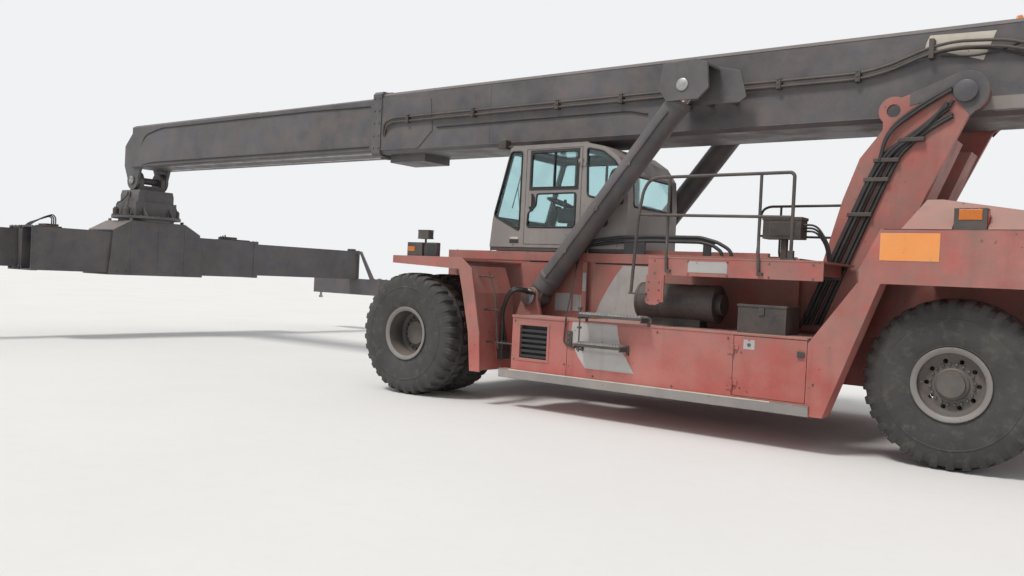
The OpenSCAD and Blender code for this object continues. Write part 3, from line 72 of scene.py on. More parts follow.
class Mat:
    """A node material that is built up in layers over one base colour."""

    def __init__(self, name, rough=0.5, metal=0.0, **inputs):
        self.m = bpy.data.materials.new(name)
        self.m.use_nodes = True
        self.t = self.m.node_tree
        self.shader = self.t.nodes["Principled BSDF"]
        self.shader.inputs["Roughness"].default_value = rough
        self.shader.inputs["Metallic"].default_value = metal
        for key, value in inputs.items():
            self.shader.inputs[key.replace("_", " ")].default_value = value
        self.place = self.add("ShaderNodeTexCoord").outputs["Object"]
        self.normal = self.add("ShaderNodeNewGeometry").outputs["Normal"]

    def add(self, kind, links=(), **values):
        node = self.t.nodes.new(kind)
        for key, value in values.items():
            setattr(node, key, value)
        for key, value in dict(links).items():
            if isinstance(value, bpy.types.NodeSocket):
                self.t.links.new(value, node.inputs[key])
            else:
                node.inputs[key].default_value = value
        return node

    def span(self, source, low, high, a=0.0, b=1.0):
        links = {"Value": source, "From Min": low, "From Max": high, "To Min": a, "To Max": b}
        return self.add("ShaderNodeMapRange", links).outputs[0]

    def math(self, a, b, operation="MULTIPLY"):
        return self.add("ShaderNodeMath", {0: a, 1: b}, operation=operation).outputs[0]

    def cloud(self, scale, low, high, stretch=None, detail=5.0):
        where = self.place
        if stretch:
            where = self.add("ShaderNodeMapping", {"Vector": where, "Scale": stretch}).outputs[0]
        links = {"Vector": where, "Scale": scale, "Detail": detail, "Roughness": 0.62}
        return self.span(self.add("ShaderNodeTexNoise", links).outputs[0], low, high)

    def upward(self, low=0.35, high=0.95):
        return self.span(self.add("ShaderNodeSeparateXYZ", {0: self.normal}).outputs[2], low, high)

    def below(self, high, low):
        return self.span(self.add("ShaderNodeSeparateXYZ", {0: self.place}).outputs[2], low, high, 1.0, 0.0)

    def edges(self, radius=0.02, low=0.01, high=0.12):
        soft = self.add("ShaderNodeBevel", {"Radius": radius}, samples=4).outputs[0]
        dot = self.add("ShaderNodeVectorMath", {0: soft, 1: self.normal}, operation="DOT_PRODUCT")
        return self.span(dot.outputs["Value"], 1 - high, 1 - low, 1.0, 0.0)

    def layers(self, base, *layers):
        """Colours over each other: each layer is a colour, a mask and how much of it shows."""
        now = self.add("ShaderNodeRGB").outputs[0]
        now.default_value = (*base, 1)
        for colour, mask, share in layers:
            links = {0: self.math(mask, share), 6: now, 7: (*colour, 1)}
            now = self.add("ShaderNodeMix", links, data_type="RGBA").outputs[2]
        self.t.links.new(now, self.shader.inputs["Base Color"])
        return self

    def rough(self, mask, low, high):
        self.t.links.new(self.span(mask, 0, 1, low, high), self.shader.inputs["Roughness"])
        return self

    def bump(self, height, strength=0.2, distance=0.01, soft=0.006):
        normal = self.add("ShaderNodeBevel", {"Radius": soft}, samples=4).outputs[0]
        links = {"Height": height, "Strength": strength, "Distance": distance, "Normal": normal}
        self.t.links.new(self.add("ShaderNodeBump", links).outputs[0], self.shader.inputs["Normal"])
        return self


DUST = (0.4, 0.32, 0.27)
MUD = (0.19, 0.145, 0.12)
RUST = (0.1, 0.035, 0.022)
CHIP = (0.075, 0.035, 0.025)


def paint(name, base, faded, dust=0.5, rust=0.35, rough=0.5, mud=0.6, rub=(0.3, 0.2, 0.17)):
    """Weathered sprayed paint: faded clouds, streaks, dust on top, mud low down, chips and rubbed edges."""
    m = Mat(name, rough)
    fade = m.cloud(0.9, 0.38, 0.66)
    dusty = m.cloud(2.6, 0.42, 0.72)
    streak = m.cloud(1.0, 0.52, 0.74, (5.5, 5.5, 0.45))
    chips = m.cloud(19, 0.66, 0.7, detail=8.0)
    worn = m.math(m.edges(), m.cloud(9, 0.42, 0.6))
    spots = m.cloud(38, 0.6, 0.72)
    m.layers(base, (faded, fade, 0.75), (RUST, streak, rust), (DUST, dusty, dust * 0.55),
             (MUD, m.math(m.below(0.45, 1.25), m.cloud(4, 0.25, 0.65)), mud), (DUST, m.upward(), dust),
             (CHIP, chips, 0.8), (rub, worn, 0.7), (DUST, spots, 0.12))
    m.rough(dusty, rough, min(0.95, rough + 0.3))
    return m.bump(m.math(m.cloud(26, 0.3, 0.7), m.cloud(1.7, 0.2, 0.8), "ADD"), 0.1, 0.006).m


# paints: base, faded, then how much dust and rust, the roughness, how much mud, and the rubbed edges
RED = paint("red_paint", (0.385, 0.08, 0.066), (0.5, 0.165, 0.145))
SLATE = paint("slate_paint", (0.05, 0.054, 0.066), (0.098, 0.102, 0.118),
              0.28, 0.18, 0.48, 0.3, (0.16, 0.15, 0.15))
CAB = paint("cab_paint", (0.225, 0.215, 0.215), (0.3, 0.285, 0.275),
            0.4, 0.12, 0.45, 0.3, (0.15, 0.14, 0.13))
BLACK = paint("black_paint", (0.02, 0.02, 0.022), (0.045, 0.043, 0.042),
              0.16, 0.15, 0.5, 0.3, (0.12, 0.11, 0.1))
GREY = paint("stripe_paint", (0.4, 0.39, 0.385), (0.5, 0.48, 0.46), 0.35, 0.25, 0.55, 0.3, (0.25, 0.15, 0.12))
SILL = paint("sill_paint", (0.22, 0.21, 0.205), (0.33, 0.31, 0.295), 0.55, 0.3, 0.6, 0.35, (0.12, 0.09, 0.08))
RIM = paint("rim_paint", (0.07, 0.068, 0.066), (0.125, 0.118, 0.11),
            0.4, 0.35, 0.6, 0.3, (0.1, 0.07, 0.055))
RIM_EDGE = paint("rim_edge_paint", (0.19, 0.185, 0.18), (0.27, 0.26, 0.25),
                 0.35, 0.3, 0.55, 0.2, (0.1, 0.07, 0.055))
CREAM = paint("cream_plate", (0.58, 0.53, 0.45), (0.66, 0.62, 0.55), 0.3, 0.15, 0.5, 0.2, (0.35, 0.3, 0.25))
ORANGE = paint("orange_board", (0.8, 0.27, 0.055), (0.85, 0.37, 0.12), 0.25, 0.1, 0.5, 0.1, (0.6, 0.4, 0.3))
PLATE = paint("blank_plate", (0.36, 0.36, 0.36), (0.46, 0.45, 0.44), 0.3, 0.1, 0.4, 0.1, (0.3, 0.28, 0.26))


def metal(name, base, rough, grime=0.5, rust=0.3):
    m = Mat(name, rough, 1.0)
    film = m.cloud(6, 0.4, 0.7)
    m.layers(base, ((0.1, 0.07, 0.05), m.cloud(13, 0.52, 0.66), rust), ((0.05, 0.045, 0.04), film, grime))
    m.rough(film, rough, min(0.9, rough + 0.3))
    return m.bump(m.cloud(60, 0.3, 0.7), 0.06, 0.002, 0.003).m


STEEL = metal("worn_steel", (0.42, 0.41, 0.4), 0.38)
CHROME = metal("rod_chrome", (0.78, 0.79, 0.8), 0.1, 0.18, 0.05)
BOLT = metal("bolt_steel", (0.2, 0.19, 0.18), 0.5, 0.6, 0.5)


def rubbery(name, base, dust, rough=0.75, scale=3.0):
    m = Mat(name, rough)
    pale = m.cloud(scale, 0.36, 0.7)
    spots = m.cloud(11, 0.52, 0.75)
    m.layers(base, ((0.135, 0.128, 0.122), pale, dust), ((0.2, 0.18, 0.165), spots, dust * 0.6),
             (DUST, m.upward(0.5, 1.0), dust * 0.35))
    m.rough(pale, rough - 0.12, min(0.97, rough + 0.15))
    return m.bump(m.math(m.cloud(45, 0.3, 0.7), m.cloud(150, 0.3, 0.7), "ADD"), 0.16, 0.003, 0.004).m


TYRE = rubbery("tyre_rubber", (0.036, 0.035, 0.034), 0.42, 0.85, 2.2)
HOSE = rubbery("hose_rubber", (0.014, 0.014, 0.015), 0.22, 0.5)
TRIM = rubbery("trim_plastic", (0.02, 0.02, 0.022), 0.14, 0.55)
GASKET = rubbery("window_gasket", (0.011, 0.011, 0.012), 0.08, 0.6)
SEAT = rubbery("seat_fabric", (0.05, 0.052, 0.06), 0.1, 0.9, 6.0)


def glass(name, colour, rough=0.03, share=1.0):
    m = Mat(name, rough, Transmission_Weight=share, IOR=1.45)
    film = m.cloud(3.5, 0.42, 0.8)
    m.layers(colour, ((0.55, 0.6, 0.6), film, 0.15))
    m.rough(film, rough, rough + 0.1)
    return m.m


GLASS = glass("tinted_glass", (0.66, 0.83, 0.84))
LENS = glass("orange_lens", (0.95, 0.3, 0.03), 0.18, 0.55)
CLEAR = glass("lamp_glass", (0.85, 0.86, 0.84), 0.12, 0.6)
LENS_RED = glass("red_lens", (0.65, 0.03, 0.02), 0.18, 0.5)

# the slot of a piece by its material, if it asks for no other; boards, plates and stripes have none
SLOTS = {RED: "red_paint", SLATE: "slate_paint", CAB: "cab_paint", BLACK: "black_paint", RIM: "rim_paint",
         RIM_EDGE: "rim_paint", STEEL: "bare_steel", BOLT: "bare_steel", TYRE: "tyre_rubber",
         HOSE: "hose_rubber", GASKET: "hose_rubber", TRIM: "trim_plastic", SEAT: "trim_plastic",
         LENS: "lamp_plastic", CLEAR: "lamp_plastic", LENS_RED: "lamp_plastic"}
AXIS_R = 0.0005      # the radius at which a turned form is closed
EDGE_ANGLE, SMOOTH_ANGLE = math.radians(35), math.radians(38)
BOX_FACES = ((0, 1, 3, 2), (4, 6, 7, 5), (0, 4, 5, 1), (2, 3, 7, 6), (0, 2, 6, 4), (1, 5, 7, 3))


def attach(obj, mat, body, slot=None, instead=None):
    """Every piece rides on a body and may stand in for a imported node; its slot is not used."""
    scene.collection.objects.link(obj)
    obj.data.materials.append(mat)
    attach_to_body(obj, body)
    slot = slot or SLOTS.get(mat)
    if instead:
        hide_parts(instead)
    return obj


def solid(name, mat, body, verts, faces, both=False, bevel=0.0, smooth=False, **more):
    """A closed form, if both is set with its mirror image on the machine's other side."""
    if both:
        n = len(verts)
        verts, faces = verts + [(x, -y, z) for x, y, z in verts], faces + [
            tuple(n + i for i in reversed(face)) for face in faces]
    mesh = bpy.data.meshes.new(name)
    mesh.from_pydata([place(v) for v in verts], [], faces)
    obj = bpy.data.objects.new(name, mesh)
    if bevel:
        edge = obj.modifiers.new("edge", "BEVEL")
        edge.width, edge.segments, edge.limit_method, edge.angle_limit = bevel, 2, "ANGLE", EDGE_ANGLE
    if smooth:
        mesh.shade_smooth()
        mesh.set_sharp_from_angle(angle=SMOOTH_ANGLE)
    return attach(obj, mat, body, **more)


def boxes(name, mat, body, items, bevel=0.004, **more):
    verts, faces = [], []
    for x0, x1, y0, y1, z0, z1 in items:
        n = len(verts)
        verts += [(x, y, z) for x in (x0, x1) for y in (y0, y1) for z in (z0, z1)]
        faces += [tuple(n + i for i in face) for face in BOX_FACES]
    return solid(name, mat, body, verts, faces, bevel=bevel, **more)


def plates(name, mat, body, outlines, y0, y1, bevel=0.0, **more):
    """Flat outlines in X and Z, made into plates from y0 to y1."""
    verts, faces = [], []
    for outline in outlines:
        area = sum(a[0] * b[1] - b[0] * a[1] for a, b in zip(outline, outline[1:] + outline[:1]))
        points = outline if area > 0 else outline[::-1]
        n, k = len(verts), len(points)
        verts += [(x, y0, z) for x, z in points] + [(x, y1, z) for x, z in points]
        faces += [tuple(range(n, n + k)), tuple(range(n + 2 * k - 1, n + k - 1, -1))]
        faces += [(n + i, n + k + i, n + k + (i + 1) % k, n + (i + 1) % k) for i in range(k)]
    return solid(name, mat, body, verts, faces, bevel=bevel, **more)


def rounded(points, radius, steps=5):
    """The same path with its corners rounded."""
    points = [Vector(p) for p in points]
    path = [points[0]]
    for a, b, c in zip(points, points[1:], points[2:]):
        r = min(radius, (a - b).length * 0.48, (c - b).length * 0.48)
        s, e = b + (a - b).normalized() * r, b + (c - b).normalized() * r
        path += [s.lerp(b, t / steps).lerp(b.lerp(e, t / steps), t / steps) for t in range(steps + 1)]
    return path + [points[-1]]


def tubes(name, mat, body, paths, radius, bend=0.08, both=False, smoothness=2, **more):
    """Round tubes or hoses along paths, as one curve object."""
    curve = bpy.data.curves.new(name, "CURVE")
    curve.dimensions, curve.use_fill_caps = "3D", True
    curve.bevel_depth, curve.bevel_resolution = radius, smoothness
    for path in paths:
        for side in BOTH if both else (1,):
            line = rounded(path, bend) if bend else [Vector(p) for p in path]
            spline = curve.splines.new("POLY")
            spline.points.add(len(line) - 1)
            for point, p in zip(spline.points, line):
                point.co = (p.x - MID, side * p.y, p.z, 1)
            spline.use_smooth = True
    return attach(bpy.data.objects.new(name, curve), mat, body, **more)


def turned(profile, centre, axis="y", around=48, sign=1):
    """Vertices and faces of a profile of (along, radius) turned about an axis through centre."""
    verts, faces = [], []
    for a in range(around):
        c, s = math.cos(2 * math.pi * a / around), math.sin(2 * math.pi * a / around)
        for along, r in profile:
            along *= sign
            local = {"y": (r * c, along, r * s), "x": (along, r * c, r * s), "z": (r * c, r * s, along)}[axis]
            verts.append(tuple(centre[i] + local[i] for i in range(3)))
    k = len(profile)
    flip = (axis == "y") == (sign > 0)
    for a in range(around):
        b = (a + 1) % around
        for i in range(k - 1):
            quad = (a * k + i, b * k + i, b * k + i + 1, a * k + i + 1)
            faces.append(quad if flip else quad[::-1])
    return verts, faces


def gather(parts):
    verts, faces = [], []
    for v, f in parts:
        n = len(verts)
        verts += v
        faces += [tuple(n + i for i in face) for face in f]
    return verts, faces


def closed(profile):
    return [(profile[0][0], AXIS_R)] + profile + [(profile[-1][0], AXIS_R)]


def bolts(name, body, spots, r, h, around=6, mat=BOLT, **more):
    """Bolt heads or nuts: each spot is a point and the axis and sign that its head looks along."""
    head = closed([(-0.002, r), (h * 0.8, r), (h, r * 0.8)])
    heads = [turned(head, p, axis, around, sign) for p, axis, sign in spots]
    return solid(name, mat, body, *gather(heads), **more)


def round_solid(name, mat, body, *parts, **more):
    """Turned forms as one smooth piece."""
    return solid(name, mat, body, *gather(parts), smooth=True, **more)


def outwards(xs, y, zs, sides=BOTH):
    """Spots on the machine's sides, at every x and z, that look away from its middle."""
    return [((x, s * y, z), "y", s) for x in xs for z in zs for s in sides]


def on_circle(count, r, offset=0.0):
    """Points of a circle about nought."""
    angles = [2 * math.pi * (i + offset) / count for i in range(count)]
    return [(r * math.cos(a), r * math.sin(a)) for a in angles]


def span(s, a, b):
    """From a to b on side s, the lower value first."""
    return sorted((s * a, s * b))


def paired(build, name, mat, items, *sizes, **more):
    """The same on both sides of the chassis."""
    return build(name, mat, "chassis", items, *sizes, both=True, **more)


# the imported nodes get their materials
FINISH = {
    RED: ("chassis_frame", "boom_tower", "counterweight", "side_boxes", "mudguards", "deck", "engine_hood",
          "locker_door_left", "locker_door_right"),
    SLATE: ("engine", "driveline", "front_axle", "steer_axle", "boom_outer", "boom_inner", "lift_barrel_left",
            "lift_barrel_right", "hanger", "carriage", "spreader_frame", "arm_left", "arm_right",
            "knuckle_left", "knuckle_right"),
    CAB: ("cab_shell", "door_left", "door_right"),
    BLACK: ("railings", "steps", "service_units", "boom_pipes", "lamps"),
    GLASS: ("cab_glass", "door_left_glass", "door_right_glass"),
    TRIM: ("cab_interior", "hoses"),
    CHROME: ("lift_rod_left", "lift_rod_right", "steer_rod"),
    STEEL: ("twistlock_left_front", "twistlock_left_rear", "twistlock_right_front", "twistlock_right_rear"),
    TYRE: ("front_tyres_left", "front_tyres_right", "rear_tyre_left", "rear_tyre_right"),
    RIM: ("front_rims_left", "front_rims_right", "rear_rim_left", "rear_rim_right"),
}
for material, names in FINISH.items():
    for name in names:
        mesh = nodes[name].data
        mesh.materials.clear()
        mesh.materials.append(material)

# tyres: the half profile from the bead up the sidewall and over the tread, drawn a little wider than it is
SIDEWALL = [(0.18, 0.318), (0.205, 0.336), (0.222, 0.362), (0.218, 0.372), (0.234, 0.42), (0.246, 0.5),
            (0.25, 0.58), (0.2495, 0.6), (0.2535, 0.604), (0.2535, 0.616), (0.2485, 0.62), (0.246, 0.665),
            (0.236, 0.715), (0.222, 0.752)]
TREAD = [(0.208, 0.78), (0.185, 0.797), (0.15, 0.804), (0.1, 0.807), (0.052, 0.808), (0.046, 0.793),
         (0.012, 0.809)]
DRAWN_HALF, TYRE_HALF = 0.2535, 0.25
LUGS, LUG_DEPTH, LUG_SLANT = 34, 0.026, 0.02
LUG_EDGES = (0.0, 0.07, 0.5, 0.57)       # parts of the pitch: up by the second, down again by the fourth
SHOULDER_R, SHOULDER = 0.7, 0.06         # the lugs begin here, and are full this much further out
MIDDLE_RIB = 0.05                         # no lugs this near to the tyre's middle


def tyre_mesh(x, y):
    """One tyre: slanted lugs to both shoulders of the tread, ribs round the sidewalls."""
    half = [(s * TYRE_HALF / DRAWN_HALF, r) for s, r in SIDEWALL + TREAD]
    profile = [(-s, r) for s, r in half] + [(s, r) for s, r in half[::-1]]
    turns = sorted((p + s + o) / LUGS % 1.0 for p in range(LUGS) for s in LUG_EDGES for o in (0.0, 0.5))
    k, verts, faces = len(profile), [], []
    for turn in turns:
        for s, r in profile:
            phase = (turn * LUGS + (0.5 if s < 0 else 0.0)) % 1.0
            low = phase < 1e-6 or phase > LUG_EDGES[3] - 1e-4
            zone = min(1.0, max(0.0, (r - SHOULDER_R) / SHOULDER)) if abs(s) > MIDDLE_RIB else 0.0
            rr = r - LUG_DEPTH * zone * low
            a = 2 * math.pi * (turn + LUG_SLANT * max(0.0, TYRE_HALF - abs(s)) * (r > SHOULDER_R))
            verts.append((x + rr * math.cos(a), y + s, TYRE_R + rr * math.sin(a)))
    for i in range(len(turns)):
        j = (i + 1) % len(turns)
        faces += [(i * k + (m + 1) % k, j * k + (m + 1) % k, j * k + m, i * k + m) for m in range(k)]
    return verts, faces


RIM_HALF, FRONT_DISC, REAR_DISC = 0.2, 0.24, 0.06      # half a rim's width, and how deep its disc lies
FRONT_HUB, REAR_HUB = 0.18, 0.15
WHEELS = {      # each wheel's tyre middles, the outer one first, its place along X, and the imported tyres
    "wheel_front_left": ((1.82, 1.23), 0.0, "front_tyres_left"),
    "wheel_front_right": ((-1.82, -1.23), 0.0, "front_tyres_right"),
    "wheel_rear_left": ((1.35,), REAR, "rear_tyre_left"),
    "wheel_rear_right": ((-1.35,), REAR, "rear_tyre_right")}
for body, (middles, x, node) in WHEELS.items():
    s, y = (1 if middles[0] > 0 else -1), abs(middles[0])
    tyres = [tyre_mesh(x, middle) for middle in middles]
    round_solid(body.replace("wheel", "tyres"), TYRE, body, *tyres, instead=node)
    face = y + RIM_HALF - (REAR_DISC if x == REAR else FRONT_DISC)
    centre = (x, 0.0, TYRE_R)
    lock_ring = [(y + out, r) for out, r in (
        (0.226, 0.346), (0.232, 0.352), (0.236, 0.346), (0.234, 0.326), (0.214, 0.298))]
    round_solid(body + "_lock_ring", RIM_EDGE, body, turned(lock_ring, centre, "y", 72, s))
    hub_r = REAR_HUB if x == REAR else FRONT_HUB
    cap = [(face + 0.05, AXIS_R), (face + 0.052, hub_r * 0.42), (face + 0.046, hub_r * 0.5),
           (face + 0.03, hub_r * 0.56), (face + 0.022, hub_r * 0.95), (face + 0.004, hub_r + 0.004)]
    round_solid(body + "_hub_cap", RIM, body, turned(cap, centre, "y", 48, s))
    ring = on_circle(20, hub_r + 0.042, 0.5)
    nuts = [((x + dx, s * (face - 0.012), TYRE_R + dz), "y", s) for dx, dz in ring]
    bolts(body + "_nuts", body, nuts, 0.0145, 0.03)
    small = [((x + dx, s * (face + 0.026), TYRE_R + dz), "y", s) for dx, dz in on_circle(12, hub_r * 0.75)]
    bolts(body + "_cap_bolts", body, small, 0.01, 0.01)
    valve = [(x + dx, s * (face + out), TYRE_R) for dx, out in ((0.3, 0.01), (0.285, 0.05), (0.24, 0.062))]
    tubes(body + "_valve", BOLT, body, [valve], 0.005, 0.02)

# boom: pipes and hoses along its sides, clamps, blank plates, seams and bolts
BOOM_Y = 0.4695      # just inside the boom's side
PIPE_Y = 0.515
CLAMP_X = (1.6, 0.279, -1.214, -2.22, -4.326, -5.218)
PAD_Y = (-0.22, 0.22)
pipe_runs = []
for i, z in enumerate((4.052, 3.988)):
    pipe_runs.append([
        (2.15 - 0.03 * i, PIPE_Y - 0.02, 3.8), (2.12 - 0.05 * i, PIPE_Y, z - 0.06), (1.93, PIPE_Y, z),
        (-5.22, PIPE_Y, z), (-5.52, PIPE_Y, z + 0.05), (-5.95, PIPE_Y + 0.02, z + 0.2),
        (-6.2, PIPE_Y + 0.03, z + 0.235), (-6.65, PIPE_Y + 0.03, z + 0.2), (-6.98, PIPE_Y + 0.01, z + 0.1),
        (-7.05, PIPE_Y - 0.02, z - 0.1)])
tubes("boom_pipe_runs", BLACK, "boom", pipe_runs, 0.0165, 0.14, both=True, instead="boom_pipes")
tubes("boom_hose_loops", HOSE, "boom", [
    [(-5.4, 0.5, 4.02), (-5.8, 0.505, 4.15), (-6.2, 0.51, 4.22), (-6.62, 0.51, 4.17), (-6.95, 0.505, 4.02),
     (-7.02, 0.5, 3.86)],
    [(-6.05, 0.5, 4.16), (-6.35, 0.51, 4.12), (-6.6, 0.51, 4.15), (-6.9, 0.5, 4.25)],
    [(1.02, 0.485, 3.86), (-1.2, 0.485, 3.86), (-2.35, 0.485, 3.86), (-2.6, 0.485, 3.8)]],
      0.011, 0.2, both=True)
clamps = [(x - 0.028, x + 0.028, 0.468, 0.545, 3.955, 4.085) for x in CLAMP_X]
clamps.append((-5.99, -5.94, 0.468, 0.565, 4.13, 4.34))
boxes("pipe_clamps", BLACK, "boom", clamps, 0.006, both=True)
bolts("clamp_bolts", "boom", outwards(CLAMP_X, 0.545, (3.965, 4.02, 4.076)), 0.01, 0.01)
panel = [(-5.93, 4.395), (-6.56, 4.372), (-6.45, 4.08), (-5.885, 4.265), (-5.9, 4.33)]
plates("blank_panel", CREAM, "boom", [panel], 0.4705, 0.4725, both=True)
boxes("boom_tail_plate", SILL, "boom", [(-7.28, -6.4, 0.4705, 0.4725, 3.56, 3.7)], 0.0, both=True)
bolts("collar_bolts", "boom", outwards((2.25, 2.36), 0.5, (3.6, 3.8, 4.0, 4.2, 4.4)), 0.016, 0.012)
boxes("collar_pads", BLACK, "boom", [
    (2.24, 2.37, y - 0.09, y + 0.09, z, z + 0.018) for z in (4.51, 3.452) for y in PAD_Y], 0.004)
boxes("weld_seams", SLATE, "boom", [
    (-7.28, 1.1, BOOM_Y, 0.4745, 3.545, 3.553), (-7.28, 1.1, BOOM_Y, 0.4745, 4.427, 4.435),
    (-3.02, -3.012, BOOM_Y, 0.4735, 3.56, 4.42), (-0.012, -0.004, BOOM_Y, 0.4735, 3.56, 4.42)],
      0.002, both=True)
boxes("tail_access", SLATE, "boom", [(-7.312, -7.3, -0.26, 0.26, 3.7, 4.28)])
edge_spots = [(y, z) for y in (-0.23, -0.08, 0.08, 0.23) for z in (3.73, 4.25)]
edge_spots += [(y, z) for y in (-0.23, 0.23) for z in (3.86, 3.99, 4.12)]
bolts("tail_access_bolts", "boom", [((-7.312, y, z), "x", -1) for y, z in edge_spots], 0.011, 0.01)
beacon = closed([(0.0, 0.055), (0.03, 0.06), (0.035, 0.045), (0.075, 0.04), (0.088, 0.02)])
round_solid("tail_beacon", LENS, "boom", turned(beacon, (-6.73, 0.22, 4.48), "z", 24))
tubes("inner_boom_hose", HOSE, "inner_boom", [
    [(2.55, 0.426, 4.3), (4.0, 0.426, 4.33), (8.6, 0.426, 4.33), (9.2, 0.42, 4.22), (9.45, 0.4, 3.9)],
    [(2.55, 0.426, 3.64), (8.9, 0.426, 3.64), (9.3, 0.41, 3.6)]], 0.01, 0.15, both=True)
boxes("inner_boom_rubs", STEEL, "inner_boom", [
    (2.5, 9.2, y - 0.05, y + 0.05, 3.5548, 3.5556) for y in PAD_Y], 0.0)

# the hanger's pin
HEAD_X, PIN_Z = 9.73, 3.305
bolts("head_pin_caps", "head", outwards((HEAD_X,), 0.375, (PIN_Z,)), 0.085, 0.02, 32, STEEL, smooth=True)
bolts("head_pin_bolts", "head", [
    ((HEAD_X + 0.055 * math.cos(a), s * 0.394, PIN_Z + 0.055 * math.sin(a)), "y", s)
    for a in (0.5, 2.6, 4.7) for s in BOTH], 0.01, 0.009)

# lift cylinders: bands, a pipe with its clips, and the caps of their pins
FOOT, TOP = Vector((-1.31, 0.92, 1.37)), Vector((-3.39, 0.92, 3.975))
along = (TOP - FOOT).normalized()
across = Vector((along.z, 0, -along.x))
lean = along.to_track_quat("Z", "Y").to_matrix()


def on_lift(s, length, out, side):
    """A point beside the cylinder of side s: length up from its foot, out to the front, side away from it."""
    p = FOOT + along * length + across * out
    return (p.x, s * (p.y + side), p.z)


for side, s in SIDES:
    barrel, bands = "barrel_" + side, []
    for length, r in ((0.3, 0.158), (3.075, 0.16)):
        ring = closed([(0.0, r - 0.006), (0.008, r), (0.062, r), (0.07, r - 0.006)])
        verts, faces = turned(ring, (0, 0, 0), "z", 40)
        verts = [FOOT + along * length + lean @ Vector(v) for v in verts]
        # on the right side the faces are turned round with the mirrored corners
        bands.append(([(v.x, s * v.y, v.z) for v in verts], [face[::s] for face in faces]))
    round_solid("lift_bands_" + side, SLATE, barrel, *bands)
    run = [on_lift(s, *p) for p in ((0.34, -0.02, 0.15), (0.42, -0.03, 0.178), (0.52, -0.03, 0.168),
                                    (2.85, -0.03, 0.168), (2.98, -0.03, 0.15))]
    tubes("lift_pipe_" + side, BLACK, barrel, [run], 0.012, 0.06)
    clips = [(on_lift(s, length, -0.03, 0.166), "y", s) for length in (0.8, 1.5, 2.2)]
    bolts("lift_clips_" + side, barrel, clips, 0.026, 0.016, 8)
    foot_cap = closed([(1.133, 0.105), (1.147, 0.105), (1.15, 0.098)])
    round_solid("foot_pin_cap_" + side, STEEL, "chassis", turned(foot_cap, (FOOT.x, 0, FOOT.z), "y", 36, s))
    top_cap = closed([(1.123, 0.075), (1.136, 0.075), (1.14, 0.068)])
    round_solid("top_pin_cap_" + side, STEEL, "boom", turned(top_cap, (TOP.x, 0, TOP.z), "y", 36, s))

# tower: its bundle of hoses, the straps, and the paint and caps of the boom's pivot
TOWER_EDGE = [(-4.81, 1.25), (-5.38, 2.7), (-5.56, 3.1), (-6.18, 3.54)]
PIVOT_X, PIVOT_Z = -6.35, 3.72


def tower_line(t, out, y):
    """A point on the tower's front edge, t from 0 at its foot to 1 at its head."""
    t *= len(TOWER_EDGE) - 1
    i = min(int(t), len(TOWER_EDGE) - 2)
    a, b = TOWER_EDGE[i:i + 2]
    return (a[0] + (b[0] - a[0]) * (t - i) - out, y, a[1] + (b[1] - a[1]) * (t - i))


bundle = [[tower_line(t, 0.046 * i, 0.738 + 0.003 * (i % 2)) for t in (0, 0.18, 0.36, 0.5, 0.66, 0.84)] +
          [(-6.2 - 0.02 * i, 0.735, 3.55 + 0.044 * i)] for i in range(3)]
bundle += [[tower_line(t, 0.022 + 0.046 * i, 0.762) for t in (0.02, 0.2, 0.4, 0.55, 0.7, 0.86)] +
           [(-6.19, 0.758, 3.585 + 0.03 * i)] for i in range(2)]
bundle += [[tower_line(t, 0.152 + 0.044 * i, 0.739) for t in (0.0, 0.2, 0.4, 0.55, 0.66)] +
           [(-5.93 - 0.03 * i, 0.74, 3.33 - 0.02 * i), (-6.24, 0.74, 3.5 - 0.03 * i)] for i in range(2)]
bundle += [[tower_line(0.6, 0.03, 0.775), (-5.62, 0.77, 3.33 + 0.03 * i), (-5.9, 0.758, 3.55 + 0.04 * i),
            (-6.22, 0.75, 3.74 + 0.03 * i)] for i in range(2)]
tubes("tower_hoses", HOSE, "chassis", bundle, 0.0195, 0.3, instead="hoses")
straps = []
for t in (0.12, 0.28, 0.45, 0.62, 0.78):
    x, y, z = tower_line(t, 0.046, 0.74)
    straps.append((x - 0.17, x + 0.085, 0.718, 0.786, z - 0.022, z + 0.022))
boxes("hose_straps", BLACK, "chassis", straps, 0.006)
ear = [(-5.82, 3.61), (-5.82, 3.737)]
ear += [(PIVOT_X + 0.212 * math.cos(math.radians(a)), PIVOT_Z + 0.212 * math.sin(math.radians(a)))
        for a in range(70, 241, 17)]
ear += [(-6.4, 3.47), (-6.21, 3.7)]
paired(plates, "pivot_paint", SLATE, [ear], 0.7203, 0.724)
cap = closed([(0.7598, 0.112), (0.766, 0.112), (0.77, 0.104)])
pivot_caps = [turned(cap, (PIVOT_X, 0, PIVOT_Z), "y", 40, s) for s in BOTH]
round_solid("pivot_caps", SLATE, "chassis", *pivot_caps)

# the two pipes that arch beside the cab, with their web, posts and flanges; heights are above the deck
ARCH_Y = 0.728
ARCH = [(-1.86, 0.0003), (-1.86, 0.07), (-1.9, 0.13), (-1.99, 0.161), (-2.43, 0.212), (-2.86, 0.228),
        (-3.54, 0.222), (-3.76, 0.165), (-3.89, 0.095), (-3.935, 0.045), (-3.935, 0.0003)]
ARCH_LOW = [(-1.95, 0.0003), (-1.95, 0.06), (-1.99, 0.1), (-2.43, 0.156), (-2.86, 0.172), (-3.54, 0.166),
            (-3.7, 0.13), (-3.79, 0.07), (-3.815, 0.04), (-3.815, 0.0003)]
arch_lines = [[(x, ARCH_Y, DECK_Z + up) for x, up in line] for line in (ARCH, ARCH_LOW)]
tubes("cab_arch_pipes", TRIM, "chassis", arch_lines, 0.0215, 0.05, smoothness=4, slot="black_paint")
web = [(x, DECK_Z + up) for x, up in ARCH[3:8] + ARCH_LOW[6:2:-1]]
